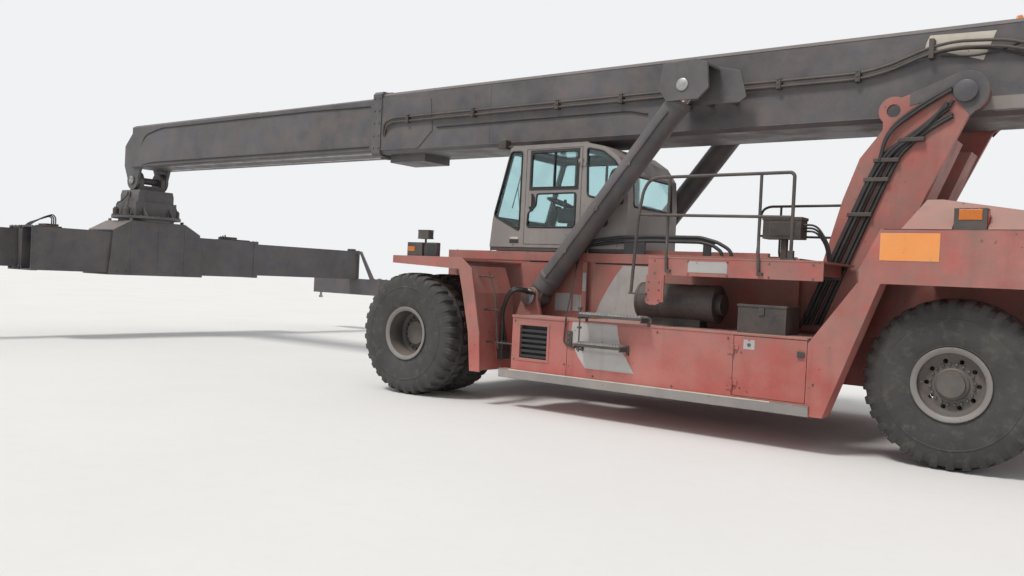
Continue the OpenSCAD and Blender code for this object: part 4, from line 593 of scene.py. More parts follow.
plates("arch_web", TRIM, "chassis", [web], ARCH_Y - 0.006, ARCH_Y + 0.006, slot="black_paint")
boxes("arch_posts", TRIM, "chassis", [
    (x0, x1, ARCH_Y - 0.015, ARCH_Y + 0.015, DECK_Z, DECK_Z + up)
    for x0, x1, up in ((-3.68, -3.58, 0.14), (-2.8, -2.5, 0.155))], slot="black_paint")
flange = closed([(0, 0.0235), (0.006, 0.0235), (0.008, 0.0225)])
flanges = [turned(flange, (line[end][0], ARCH_Y, DECK_Z), "z", 20)
           for line in (ARCH, ARCH_LOW) for end in (0, -1)]
round_solid("arch_flanges", BOLT, "chassis", *flanges)

# the hoses of the lift cylinders' feet, held by the block behind the flap
FOOT_OUT, BLOCK_TOP = 1.09, 0.75
FOOT_HOSES = (
    [(-1.3, 1.1, 1.455), (-1.3, 1.203, 1.463), (-1.31, 1.348, 1.478), (-1.28, 1.42, 1.47),
     (-1.19, 1.42, 1.37), (-1.12, 1.42, 1.16), (-1.15, 1.42, 0.95), (-1.19, 1.42, 0.83),
     (-1.19, 1.42, BLOCK_TOP)],
    [(-1.385, 1.1, 1.42), (-1.385, 1.224, 1.428), (-1.39, 1.395, 1.455), (-1.35, 1.49, 1.455),
     (-1.25, 1.49, 1.365), (-1.175, 1.49, 1.16), (-1.19, 1.49, 0.95), (-1.19, 1.49, 0.83),
     (-1.19, 1.49, BLOCK_TOP)])
paired(tubes, "foot_hoses", HOSE, FOOT_HOSES, 0.025, 0.09, smoothness=4)
paired(boxes, "foot_block", BLACK, [
    (-1.245, -1.15, 1.365, 1.545, 0.655, 0.752), (-1.245, -1.165, 1.365, 1.545, 0.555, 0.655)], 0.006)
fitting = closed([(0, 0.034), (0.02, 0.034), (0.022, 0.029), (0.045, 0.029)])
fittings = []
for first, *_, last in FOOT_HOSES:
    for s in BOTH:
        fittings.append(turned(fitting, (first[0], s * FOOT_OUT, first[2]), "y", 24, s))
        fittings.append(turned(fitting, (last[0], s * last[1], BLOCK_TOP), "z", 24))
round_solid("hose_fittings", BOLT, "chassis", *fittings)

# railings, steps and catwalks
RAIL_Y, GRAB_Y = 1.75, 1.818
POST_X, EDGE_Y = -5.0, 1.8
rail = [(-3.225, GRAB_Y, 1.5), (-3.275, GRAB_Y, 2.36), (-3.3, 1.77, 2.66), (-3.35, RAIL_Y, 2.765),
        (-3.44, RAIL_Y, 2.805), (-4.97, RAIL_Y, 2.815), (POST_X, RAIL_Y, 2.785), (POST_X, RAIL_Y, 1.921)]
paired(tubes, "handrails", BLACK, [rail], 0.0185, 0.06, smoothness=4, instead="railings")
posts = [[(x - 0.04, GRAB_Y, 1.76), (x - 0.03, GRAB_Y, 1.98), (x, RAIL_Y, 2.12), (x, RAIL_Y, 2.806)]
         for x in (-3.61, -4.655)]
posts.append([(-3.288, 1.8, 2.39), (-3.4, 1.79, 2.385), (-4.985, RAIL_Y, 2.36)])
paired(tubes, "handrail_posts", BLACK, posts, 0.0165, 0.05, smoothness=4)
paired(boxes, "post_feet", BLACK, [
    (POST_X - r, POST_X + r, RAIL_Y - r, RAIL_Y + r, z0, z1)
    for r, z0, z1 in ((0.045, 1.92, 1.932), (0.028, 1.932, 2.02))], 0.003)
bolts("post_bolts", "chassis", [
    ((POST_X + dx, s * (RAIL_Y + dy), 1.932), "z", 1)
    for dx in (-0.034, 0.034) for dy in (-0.034, 0.034) for s in BOTH], 0.007, 0.008)
paired(boxes, "grab_lugs", BLACK, [
    (-3.42, -3.2, 1.804, 1.834, 1.492, 1.512), (-3.7, -3.64, 1.8, 1.834, 1.755, 1.785),
    (-4.74, -4.68, 1.8, 1.834, 1.755, 1.785)], 0.003)
TOOTH_PITCH, TOOTH_H, BAR_H, BAR_HALF, BARS = 0.042, 0.016, 0.03, 0.0035, 5
STEP_IN, STEP_OUT = 1.868, 2.04


def saw_edge(x0, x1, z):
    """The outline of a grating's bar along X, with teeth on top."""
    n = round((x1 - x0) / TOOTH_PITCH)
    w = (x1 - x0) / n
    line = [(x0, z - BAR_H)]
    for i in range(n):
        line += [(x0 + (i + part) * w, z + up)
                 for part, up in ((0.1, 0), (0.3, TOOTH_H), (0.7, TOOTH_H), (0.9, 0))]
    return line + [(x1, z - BAR_H)]


for tag, x0, x1, z in (("upper", -3.5, -2.68, 1.24), ("lower", -3.25, -2.64, 0.9)):
    a, b = x0 + 0.012, x1 - 0.012
    for i in range(BARS):
        y = STEP_IN + (STEP_OUT - STEP_IN) * i / (BARS - 1)
        paired(plates, "step_%s_bar_%d" % (tag, i), STEEL, [saw_edge(a, b, z)], y - BAR_HALF, y + BAR_HALF)
    paired(boxes, "step_%s_frame" % tag, BLACK, [
        (a, b, 2.043, 2.0495, z - 0.036, z - 0.0045), (a, b, 1.853, 1.86, z - 0.036, z - 0.0045),
        (x0, a, 1.852, 2.05, z - 0.06, z - 0.004), (b, x1, 1.852, 2.05, z - 0.06, z - 0.004),
        (x0 - 0.01, x0 + 0.022, 1.85, 1.87, z - 0.1, z + 0.01),
        (x1 - 0.022, x1 + 0.01, 1.85, 1.87, z - 0.1, z + 0.01)], 0.002, instead="steps")
    ends = (x0 + 0.006, x1 - 0.006)
    bolts("step_%s_bolts" % tag, "chassis", outwards(ends, 1.87, (z - 0.08,)), 0.01, 0.009)
FLAP = [(-1.16, 0.42), (-1.04, 1.4), (-0.9, 1.74)]
LADDER_Y = 1.72


def flap_x(z):
    """The rear face of the mudguard's flap at height z."""
    a, b = FLAP[:2] if z < FLAP[1][1] else FLAP[1:]
    return a[0] + (b[0] - a[0]) * (z - a[1]) / (b[1] - a[1])


ladder = [[(flap_x(z) - 0.18, LADDER_Y, z) for z in (1.68, 1.4, 0.7)]]
ladder += [[(flap_x(z) + 0.002, LADDER_Y, z), (flap_x(z) - 0.24, LADDER_Y, z)] for z in (0.78, 1.19, 1.61)]
ladder += [[(-1.36, LADDER_Y, 0.78), (-1.62, LADDER_Y, 0.78)]]
paired(tubes, "flap_ladder", BLACK, ladder, 0.01, 0, smoothness=3)
paired(tubes, "step_rod", BLACK, [[(-2.7, 2.03, 1.31), (-2.7, 2.03, 0.8)]], 0.009, 0)
paired(boxes, "step_rod_clamps", BLACK, [
    (-2.722, -2.678, 2.012, 2.048, z - 0.012, z + 0.012) for z in (1.3, 1.08, 0.83)], 0.003)
TREADS_AT, TREAD_PITCH, TREAD_SIZE = (-5.3, 0.8), 0.078, (0.035, 0.01)
treads = []
for i in range(24):
    for j in range(12):
        x, y = TREADS_AT[0] + i * TREAD_PITCH, TREADS_AT[1] + j * TREAD_PITCH + (i % 2) * 0.036
        treads.append((x, x + TREAD_SIZE[0], y, y + TREAD_SIZE[1], 1.9195, 1.9235))
paired(boxes, "walkway_treads", RED, treads, 0.0)
paired(boxes, "walkway_edge", RED, [(-5.35, -3.42, 1.7985, 1.8045, 1.905, 1.9225)], 0.002)
corner = [(-3.6, 1.46), (-3.57, 1.405), (-3.53, 1.385), (-3.45, 1.385), (-3.415, 1.4), (-3.4, 1.44),
          (-3.4, 1.66), (-3.6, 1.66)]
paired(plates, "hanging_corner", RED, [corner], 1.8003, 1.8043, bevel=0.0015)
bolts("corner_bolts", "chassis", outwards((-3.565, -3.435), 1.804, (1.44, 1.55, 1.64)), 0.01, 0.008)
fascia_x = (-3.5, -3.9, -4.35, -4.8, -5.25)
bolts("fascia_bolts", "chassis", outwards(fascia_x, EDGE_Y, (1.74, 1.88)), 0.011, 0.009)
paired(boxes, "fascia_plate", PLATE, [(-4.35, -3.9, 1.8002, 1.8028, 1.76, 1.88)], 0.001)

# side boxes and the frame's side: stripes, sill, louvre, plates and the slanted rod
SIDE_Y, BEAM_Y, SKIN = 1.85, 0.74, (0.0002, 0.0016)
lower_stripe = [(-2.495, 1.148), (-3.09, 1.148), (-3.11, 1.02), (-3.155, 0.85), (-3.2, 0.8), (-3.335, 0.6),
                (-2.69, 0.6), (-2.59, 0.72), (-2.545, 0.8), (-2.47, 0.95)]
upper_stripe = [(-2.12, 1.18), (-2.185, 1.34), (-2.285, 1.52), (-2.4, 1.7), (-2.5, 1.83), (-3.1, 1.83),
                (-2.8, 1.18)]
paired(plates, "lower_stripe", GREY, [lower_stripe], SIDE_Y + SKIN[0], SIDE_Y + SKIN[1])
paired(plates, "upper_stripe", GREY, [upper_stripe], BEAM_Y + SKIN[0], BEAM_Y + SKIN[1])
paired(boxes, "sill_skin", SILL, [
    (-5.292, -1.448, 1.868, 1.874, 0.377, 0.483), (-5.292, -1.448, 1.852, 1.874, 0.4795, 0.486)], 0.002)
# a pale strip along the sill's top edge: a painted highlight where the edge catches the light
paired(boxes, "sill_worn_edge", CREAM, [(-4.9, -1.6, 1.87, 1.8752, 0.474, 0.4868)], 0.001)
# a dark seam between the tank and the front box, and two dark strips just under the deck rail that are
# painted shadow gaps
paired(boxes, "box_seams", GASKET, [
    (-2.4335, -2.4275, 1.849, 1.8508, 0.49, 1.15), (-1.83, -1.04, BEAM_Y, BEAM_Y + 0.0025, 1.84, 1.858),
    (-2.9, -2.09, BEAM_Y, BEAM_Y + 0.0025, 1.84, 1.858)], 0.0, slot="black_paint")
paired(boxes, "box_lips", RED, [
    (-2.436, -1.612, 1.845, 1.862, 1.128, 1.158), (-5.245, -2.436, 1.845, 1.858, 1.132, 1.156),
    (-1.632, -1.6115, 1.27, 1.844, 1.1285, 1.1575)])
x0, x1, z0, z1 = -2.14, -1.74, 0.64, 1.04      # the louvre's opening
paired(boxes, "louvre_frame", RED, [
    (a, b, 1.849, 1.857, c, d) for a, b, c, d in (
        (x0 - 0.035, x1 + 0.035, z1, z1 + 0.035), (x0 - 0.035, x1 + 0.035, z0 - 0.035, z0),
        (x0 - 0.035, x0, z0, z1), (x1, x1 + 0.035, z0, z1))], 0.003)
steps_up = [z0 + 0.062 * i for i in range(6)]
slats = [(x0, x1, 1.7925, 1.8395, z + 0.029, z + 0.043) for z in steps_up]
lips = [(x0, x1, 1.838, 1.844, z + 0.012, z + 0.043) for z in steps_up]
paired(boxes, "louvre_blades", TRIM, slats + lips, 0.0015, slot="black_paint")
# a dark sheet at the back of the louvre's opening: painted shade inside the recess
paired(boxes, "louvre_dark", GASKET, [(x0, x1, 1.7902, 1.7925, z0, z1)], 0.0, slot="black_paint")
bolts("side_bolts", "chassis", [((x, s * 1.8525, z), "y", s) for x, z in (
    (-1.66, 1.09), (-1.66, 0.62), (-2.4, 1.09), (-2.4, 0.62), (-4.42, 1.09), (-3.6, 1.09), (-2.8, 0.52),
    (-3.8, 0.52), (-4.44, 0.6), (-5.32, 0.7)) for s in BOTH], 0.011, 0.008)
paired(boxes, "side_switch", BLACK, [(-2.5, -2.43, 1.851, 1.872, 0.85, 1.02)], 0.005)
bolts("side_switch_knobs", "chassis", outwards((-2.465,), 1.872, (0.88, 0.935, 0.99)), 0.012, 0.01, 16)
paired(boxes, "plain_plates", PLATE, [
    (-1.74, -1.49, BEAM_Y, BEAM_Y + 0.004, 1.205, 1.44), (-1.866, -1.77, BEAM_Y, BEAM_Y + 0.004, 1.21, 1.43),
    (-1.965, -1.87, BEAM_Y, BEAM_Y + 0.004, 1.21, 1.43), (-1.99, -1.935, 0.7905, 0.7925, 1.48, 1.72)], 0.001)
paired(boxes, "frame_duct", RED, [(-2.005, -1.925, BEAM_Y, 0.79, 1.18, 1.86)], 0.006)
paired(tubes, "frame_rods", TRIM, [
    [(-2.015, 0.802, 1.86), (-2.015, 0.802, 1.2), (-2.015, BEAM_Y, 1.17)],
    [(-1.83, 0.752, 1.9), (-1.83, 0.775, 1.84), (-2.41, 1.87, 1.19), (-2.39, 1.87, 0.87),
     (-2.505, 1.87, 0.833), (-2.54, 1.85, 0.82)]], 0.009, 0.05, slot="black_paint")
notch = [(-4.71, 0.99), (-4.59, 0.99), (-4.59, 1.09), (-4.635, 1.09), (-4.65, 1.07), (-4.665, 1.09),
         (-4.71, 1.09)]
for side, s in SIDES:
    body = "locker_" + side
    plates("locker_plate_" + side, PLATE, body, [notch], *span(s, 1.8502, 1.8518))
    boxes("locker_latch_" + side, BLACK, body, [(-5.226, -5.154, *span(s, 1.863, 1.872), 0.952, 1.018)])
    bolts("locker_lock_" + side, body, outwards((-4.65,), 1.8518, (1.038,), (s,)), 0.018, 0.009, 20)
    bolts("locker_bolts_" + side, body, outwards((-4.52, -4.57), 1.8505, (0.585, 0.955), (s,)), 0.009, 0.007)

# lamps and their lenses
paired(boxes, "front_lenses", LENS, [
    (-0.045, 0.075, 1.9802, 1.986, 1.9, 1.965), (0.0902, 0.096, 1.915, 1.965, 1.9, 1.965)], 0.003)
paired(boxes, "marker_covers", TRIM, [(-0.405, -0.255, 1.9802, 1.986, 1.84, 2.0)], 0.003)
paired(boxes, "work_lamp_glass", CLEAR, [(-0.1098, -0.104, 1.91, 1.99, 2.08, 2.17)], 0.002)
paired(boxes, "work_lamp_rims", BLACK, [
    (-0.295, -0.106, 1.895, 2.005, z, z + 0.012) for z in (2.172, 2.066)], 0.003)
paired(boxes, "rear_lenses", LENS, [(-6.73, -6.54, 1.8402, 1.847, 2.325, 2.42)], 0.003)
paired(boxes, "rear_lenses_red", LENS_RED, [(-6.777, -6.7702, 1.715, 1.825, 2.26, 2.41)], 0.003)

# counterweight: blank board, seams, rear bolts and the tow pin
paired(boxes, "blank_board", ORANGE, [(-6.4, -5.88, 1.8503, 1.8535, 1.94, 2.2)], 0.001)
paired(boxes, "weight_seams", GASKET, [
    (-7.99, -5.9, 1.8492, 1.8506, 2.232, 2.238), (-7.59, -7.584, 1.8492, 1.8506, 1.835, 2.225)],
       0.0, slot="black_paint")
bolts("weight_bolts", "chassis", [((-8.0, s * y, z), "x", -1) for y in (0.5, 1.3) for z in (1.0, 1.6, 2.05)
                                  for s in BOTH], 0.03, 0.022)
TOW_X = -8.062
tow = closed([(0.0, 0.03), (0.012, 0.034), (0.03, 0.034), (0.032, 0.022), (0.265, 0.022), (0.275, 0.016)])
round_solid("tow_pin", STEEL, "chassis", turned(tow, (TOW_X, 0, 1.355), "z", 24, -1))
tubes("tow_pin_grip", STEEL, "chassis", [[
    (TOW_X, y, z) for y, z in ((-0.05, 1.352), (-0.05, 1.42), (0.05, 1.42), (0.05, 1.352))]], 0.007, 0.03)

# cab: window seals, door details, skirt, wiper, and the small parts outside
CAB_Y = 0.7
SIDE_WINDOW = [(-0.35, 2.48), (-0.61, 3.37), (-0.8, 3.37), (-0.8, 2.27)]
QUARTER = [(-1.89, 2.74), (-1.86, 3.37), (-2.1, 3.32), (-2.28, 3.19), (-2.4, 3.02), (-2.43, 2.62)]
UPPER_LIGHT = [(-1.72, 2.86), (-1.72, 3.34), (-0.97, 3.34), (-0.97, 2.86)]
LOWER_LIGHT = [(-1.71, 2.32), (-1.71, 2.78), (-1.076, 2.774), (-1.07, 2.61), (-0.94, 2.514), (-0.93, 2.32)]


def windscreen(y, z):
    """A point on the cab's sloping front face."""
    return (-0.33 - 0.27 * (z - 2.44) / 0.98, y, z)


def seals(name, body, outlines, radius=0.013):
    """Rubber round each outline, from the middle of its first edge round to the same place."""
    paths = []
    for points in outlines:
        middle = tuple((a + b) / 2 for a, b in zip(points[0], points[1]))
        paths.append([middle] + points[1:] + [points[0], middle])
    tubes(name, GASKET, body, paths, radius, 0.045, smoothness=3)


panes = [[(x, s * CAB_Y, z) for x, z in line] for line in (SIDE_WINDOW, QUARTER) for s in BOTH]
panes.append([windscreen(y, z) for y, z in ((0.61, 2.46), (-0.61, 2.46), (-0.61, 3.35), (0.61, 3.35))])
panes.append([(-2.5, 0.54, 2.6), (-2.5, -0.54, 2.6), (-2.474, -0.54, 3.0), (-2.474, 0.54, 3.0)])
panes.append([(-1.5, 0.38, 3.44), (-1.5, -0.38, 3.44), (-0.8, -0.38, 3.44), (-0.8, 0.38, 3.44)])
seals("cab_seals", "cab", panes)
boxes("cab_skirt", BLACK, "cab", [(-2.495, -0.295, *span(s, 0.655, 0.692), 1.99, 2.045) for s in BOTH] + [
    (x0, x1, -0.655, 0.655, 2.046, 2.06) for x0, x1 in ((-2.495, -2.455), (-0.33, -0.29))], 0.003)
LIGHT_IN = CAB_Y - 0.004
boxes("cab_step_light", CREAM, "cab", [(-0.79, -0.65, LIGHT_IN, 0.7045, 2.15, 2.182)], both=True)
boxes("cab_step_light_base", TRIM, "cab", [(-0.8, -0.64, LIGHT_IN, 0.7035, 2.095, 2.15)], 0.003, both=True)
grommet = [(0.0, 0.066), (0.01, 0.066), (0.014, 0.058), (0.01, 0.05), (0.002, 0.046), (0.002, AXIS_R)]
grommets = [turned(grommet, (-2.155, s * CAB_Y, 2.39), "y", 32, s) for s in BOTH]
round_solid("cab_grommets", GASKET, "cab", *grommets)
boxes("cab_lamps", BLACK, "cab", [
    (-0.47, -0.34, 0.535, 0.665, 3.43, 3.56), (-0.64, -0.47, 0.58, 0.62, 3.445, 3.475)], 0.014, both=True)
boxes("cab_lamp_glass", CLEAR, "cab", [(-0.3402, -0.334, 0.55, 0.65, 3.445, 3.545)], 0.003, both=True)
boxes("cab_roof_rim", CAB, "cab", [(-1.86, -0.63, 0.64, 0.7, 3.437, 3.452)], 0.007, both=True)
wiper = [windscreen(0.0, 2.415), windscreen(0.04, 2.5), windscreen(0.3, 2.95)]
tubes("wiper", BLACK, "cab", [[(x + 0.022, y, z) for x, y, z in wiper]], 0.006, 0.02)
blade = [windscreen(0.3, 2.62), windscreen(0.3, 3.22)]
tubes("wiper_blade", GASKET, "cab", [[(x + 0.016, y, z) for x, y, z in blade]], 0.008, 0)
boss = closed([(0.0, 0.03), (0.02, 0.028), (0.03, 0.018)])
round_solid("wiper_boss", TRIM, "cab", turned(boss, (-0.322, 0, 2.415), "x", 20))
x0, x1, z0, z1, BAR = -1.745, -0.945, 2.825, 3.375, 0.04      # the frame of the door's upper light
door_corner = [(-0.928, 2.508), (-1.066, 2.612), (-1.072, 2.785), (-0.928, 2.785)]
GRIP_X, GRIP_Z = -1.0, 2.655
oval = [(GRIP_X + 0.056 * c, GRIP_Z + 0.125 * s) for c, s in on_circle(28, 1)]
for side, s in SIDES:
    body = "cab_door_" + side
    lights = [[(x, s * CAB_Y, z) for x, z in line] for line in (UPPER_LIGHT, LOWER_LIGHT)]
    seals("door_seals_" + side, body, lights, 0.012)
    uprights = [(a, b, z0 + BAR, z1 - BAR) for a, b in ((x0, x0 + 0.032), (x1 - 0.032, x1), (-1.355, -1.335))]
    boxes("door_light_frame_" + side, TRIM, body, [
        (a, b, *span(s, 0.6985, 0.7075), c, d)
        for a, b, c, d in [(x0, x1, z1 - BAR, z1), (x0, x1, z0, z0 + BAR)] + uprights])
    plates("door_corner_" + side, CAB, body, [door_corner], *span(s, 0.682, 0.7015))
    plates("door_grip_" + side, GASKET, body, [oval], *span(s, 0.7005, 0.7085), bevel=0.004,
           slot="trim_plastic")
    bolts("door_hinge_bolts_" + side, body, outwards((x0,), 0.7075, (2.34, 3.17), (s,)), 0.01, 0.008)
    bolts("door_grip_pins_" + side, body, outwards((GRIP_X,), 0.708, (2.565, 2.745), (s,)), 0.007, 0.006)

# inside the cab: consoles, steering wheel and the padded seat
INSIDE = "cab_interior"
boxes("cab_floor_mat", TRIM, "cab", [(-2.38, -0.42, -0.6, 0.6, 2.0805, 2.088)], 0.003, instead=INSIDE)
boxes("seat_base", TRIM, "cab", [
    (-1.86, -1.44, -0.19, 0.19, 2.085, 2.13), (-1.82, -1.48, -0.16, 0.16, 2.13, 2.3),
    (-1.9, -1.4, -0.22, 0.22, 2.3, 2.355)], 0.012, instead=INSIDE)
consoles, pads, sticks = [], [], []
stick = closed([(0.0, 0.03), (0.012, 0.024), (0.03, 0.012), (0.075, 0.011), (0.085, 0.02), (0.11, 0.022),
                (0.126, 0.012)])
for s in BOTH:
    consoles.append((-1.72, -1.4, *span(s, 0.315, 0.425), 2.085, 2.4))
    consoles.append((-1.8, -1.25, *span(s, 0.3, 0.44), 2.4, 2.6))
    pads.append((-1.79, -1.46, *span(s, 0.315, 0.425), 2.6, 2.638))
    sticks.append(turned(stick, (-1.33, s * 0.37, 2.6), "z", 20))
boxes("side_consoles", TRIM, "cab", consoles, 0.022, instead=INSIDE)
boxes("arm_rests", SEAT, "cab", pads, 0.014)
round_solid("joysticks", GASKET, "cab", *sticks)
column = [(-0.82, 2.085), (-0.7, 2.085), (-0.8, 2.34), (-0.95, 2.68), (-1.005, 2.66), (-0.885, 2.34)]
plates("steering_column", TRIM, "cab", [column], -0.055, 0.055, bevel=0.014, instead=INSIDE)
boxes("front_panel", TRIM, "cab", [
    (-0.62, -0.45, -0.52, 0.52, 2.085, 2.36), (-0.7, -0.46, -0.3, 0.3, 2.36, 2.42)], 0.02)
WHEEL_AT, WHEEL_R, WHEEL_TUBE, WHEEL_TILT = (-1.0, 0.0, 2.72), 0.19, 0.016, math.radians(-22)


def steering(x, y, z):
    """A point of the level wheel, turned to the column's lean and set on its head."""
    c, s = math.cos(WHEEL_TILT), math.sin(WHEEL_TILT)
    return (WHEEL_AT[0] + x * c + z * s, WHEEL_AT[1] + y, WHEEL_AT[2] - x * s + z * c)


rim = [(up, WHEEL_R + out) for out, up in on_circle(12, WHEEL_TUBE)]
hub = closed([(-0.035, 0.03), (-0.01, 0.046), (0.012, 0.044), (0.02, 0.03)])
verts, faces = gather([turned(rim + rim[:1], (0, 0, 0), "z", 40), turned(hub, (0, 0, 0), "z", 28)])
solid("steering_wheel", GASKET, "cab", [steering(*v) for v in verts], faces, smooth=True, instead=INSIDE)
spokes = [[steering(0.03 * c, 0.03 * s, -0.005), steering(WHEEL_R * c, WHEEL_R * s, 0.0)]
          for c, s in on_circle(3, 1, 0.75)]
tubes("steering_spokes", TRIM, "cab", spokes, 0.01, 0)

CUBE_STEPS = 30
SEAMS, SEAM_WIDTH, SEAM_DEPTH = (-0.6, 0.6), 0.035, 0.016
PIPING, FILL = 0.02, 0.85


def pad_point(p, centre, half, lean, crown):
    """One point of a cushion, from a point on the surface of the cube from -1 to 1."""
    norm = sum(abs(c) ** 5 for c in p) ** 0.2
    x, y, z = (c / norm for c in p)
    lift = crown * (1 - x * x) * (1 - y * y) if z > 0 else 0.0
    groove = sum(math.exp(-((p[1] - at) / SEAM_WIDTH) ** 2) for at in SEAMS) * (1 - x ** 6)
    narrow = 1 - PIPING * math.exp(-((z - 0.55) / 0.1) ** 2)
    z = z * half[2] + (lift - SEAM_DEPTH * groove if z > 0 else 0.0)
    x, y = x * narrow * half[0], y * narrow * half[1]
    c, s = math.cos(lean), math.sin(lean)
    return (centre[0] + x * c - z * s, centre[1] + y, centre[2] + x * s + z * c)


def cushion(name, centre, half, lean, crown):
    """A full, closed pad: a rounded block with a crowned face and sewn grooves, leaned back about Y."""
    index, verts, faces = {}, [], []
    for axis in range(3):
        for sign in (-1, 1):
            grid = []
            for i in range(CUBE_STEPS + 1):
                grid.append([])
                for j in range(CUBE_STEPS + 1):
                    p = [0.0, 0.0, 0.0]
                    p[axis] = sign
                    p[(axis + 1) % 3] = 2 * i / CUBE_STEPS - 1
                    p[(axis + 2) % 3] = 2 * j / CUBE_STEPS - 1
                    key = tuple(round(c * CUBE_STEPS) for c in p)
                    if key not in index:
                        index[key] = len(verts)
                        verts.append(pad_point(p, centre, half, lean, crown))
                    grid[i].append(index[key])
            for a, b in zip(grid, grid[1:]):
                faces += [(a[j], b[j], b[j + 1], a[j + 1])[::sign] for j in range(CUBE_STEPS)]
    pad = solid(name, SEAT, "cab", verts, faces, smooth=True, instead=INSIDE)
    soft = pad.modifiers.new("rounding", "SUBSURF")
    soft.levels = soft.render_levels = 1


cushion("seat_cushion", (-1.655, 0.0, 2.43), (0.27, 0.255, 0.07), math.radians(3), 0.022)
cushion("seat_back", (-1.925, 0.0, 2.83), (0.35, 0.235, 0.06), math.radians(-78), 0.02)

# head: slewing bolts, ribs, motors with their hoses, and the carriage's hood
PLATE_TOP, MOTOR_Y, DOOR_OUT, HOOD_X = 2.53, 0.575, 0.356, 0.5
slew = [((HEAD_X + dx, dy, PLATE_TOP), "z", 1) for dx, dy in on_circle(36, 0.655)]
bolts("slew_bolts", "head", slew, 0.016, 0.02)
rib = ((0.37, -0.002), (0.56, -0.002), (0.37, 0.2))
ribs = [[(HEAD_X + s * out, PLATE_TOP + up) for out, up in rib] for s in BOTH]
for side, s in SIDES:
    plates("hanger_ribs_" + side, SLATE, "head", ribs, *span(s, 0.29, 0.31), bevel=0.002)
motor = closed([(0.0, 0.085), (0.03, 0.085), (0.032, 0.062), (0.15, 0.062), (0.16, 0.045), (0.185, 0.04)])
motors = [turned(motor, (HEAD_X + dx, s * MOTOR_Y, PLATE_TOP), "z", 24) for dx in (-0.22, 0.22) for s in BOTH]
round_solid("slew_motors", BLACK, "head", *motors)
tubes("head_hoses", HOSE, "head", [
    [(HEAD_X + end * out, s * y, z) for out, y, z in (
        (0.22, MOTOR_Y, 2.7), (0.22, 0.56, z1), (0.1, 0.5, z2), (0.05, 0.43, z3), (0.05, 0.418, 3.05))]
    for end, z1, z2, z3 in ((1, 2.8, 2.86, 2.98), (-1, 2.78, 2.84, 2.94)) for s in BOTH], 0.012)
boxes("hanger_doors", SLATE, "head", [
    (*sorted((HEAD_X + s * 0.35, HEAD_X + s * DOOR_OUT)), -0.24, 0.24, 2.87, 3.04) for s in BOTH], 0.002)
bolts("hanger_door_bolts", "head", [
    ((HEAD_X + s * DOOR_OUT, y, z), "x", s) for s in BOTH for y in (-0.21, 0.0, 0.21) for z in (2.89, 3.02)],
      0.009, 0.008)
boxes("hood_seams", SLATE, "turntable", [
    (x - 0.004, x + 0.004, y - 0.004, y + 0.004, 1.3, 2.41)
    for x in (HEAD_X + HOOD_X, HEAD_X - HOOD_X) for y in (-0.62, 0.62, 0.0)], 0.0015)
bolts("hood_bolts", "turntable", [
    ((HEAD_X + s * HOOD_X, side * y, z), "x", s) for s in BOTH for side in BOTH for y in (0.9, 0.7, 0.45, 0.2)
    for z in (1.36, 2.14)], 0.014, 0.011)
boxes("hood_eyes", SLATE, "turntable", [
    (x - 0.05, x + 0.05, s * 0.59 - 0.012, s * 0.59 + 0.012, 2.415, 2.47)
    for x in (HEAD_X - 0.42, HEAD_X + 0.42) for s in BOTH], 0.006)

# spreader: collars, hose loops, hydraulic blocks and the corner boxes
TUBE_TOP, TUBE_X, COLLAR_Y = 2.16, 0.26, (2.505, 2.575)
bolts("spreader_collar_bolts", "spreader", [
    ((HEAD_X + tube * TUBE_X + dx, end * y, 2.168), "z", 1)
    for tube in BOTH for end in BOTH for y in COLLAR_Y for dx in (-0.15, 0.0, 0.15)], 0.013, 0.011)
bolts("spreader_side_bolts", "spreader", [
    ((HEAD_X + s * 0.468, end * y, z), "x", s)
    for s in BOTH for end in BOTH for y in COLLAR_Y for z in (1.45, 1.65, 1.85, 2.05)], 0.013, 0.011)
boxes("spreader_blocks", BLACK, "spreader", [
    (HEAD_X - 0.16, HEAD_X + 0.16, 1.95, 2.2, TUBE_TOP - 0.002, 2.235),
    (HEAD_X - 0.05, HEAD_X + 0.3, -2.3, -2.02, TUBE_TOP - 0.002, 2.245)], 0.01)
loops = []
for i in range(3):
    x, sag = HEAD_X - 0.1 + 0.08 * i, 0.02 * i
    loops.append([(x, 1.985, 2.225), (x, 1.985, 2.36), (x + 0.01, 2.04, 2.425 - sag),
                  (x + 0.03, 2.2, 2.36 - sag), (x + 0.05, 2.4, 2.235), (x + 0.06, 2.465, 2.165)])
    loops.append([(x + 0.06, -2.03, 2.21), (x + 0.06, -1.99, 2.22), (x + 0.03, -1.94, 2.3 - sag),
                  (x, -1.93, 2.2), (x, -1.93, 2.16)])
tubes("spreader_hoses", HOSE, "spreader", loops, 0.013, 0.05)
tubes("spreader_pipes", BLACK, "spreader", [
    [(HEAD_X + s * 0.3, y, TUBE_TOP + 0.016) for y in ends]
    for ends in ((1.96, 2.46), (-2.46, -1.96)) for s in BOTH], 0.012, 0)
END_Y, END_TOP, LOCK_X, CAP_TOP = 6.022, 1.38, 1.13, 0.014
BRACE_X = ((-0.42, 0.08), (0.44, 0.54))
BRACE_Y, BRACE_TOP, BRACE_H = (5.848, 5.896), 2.114, 0.08
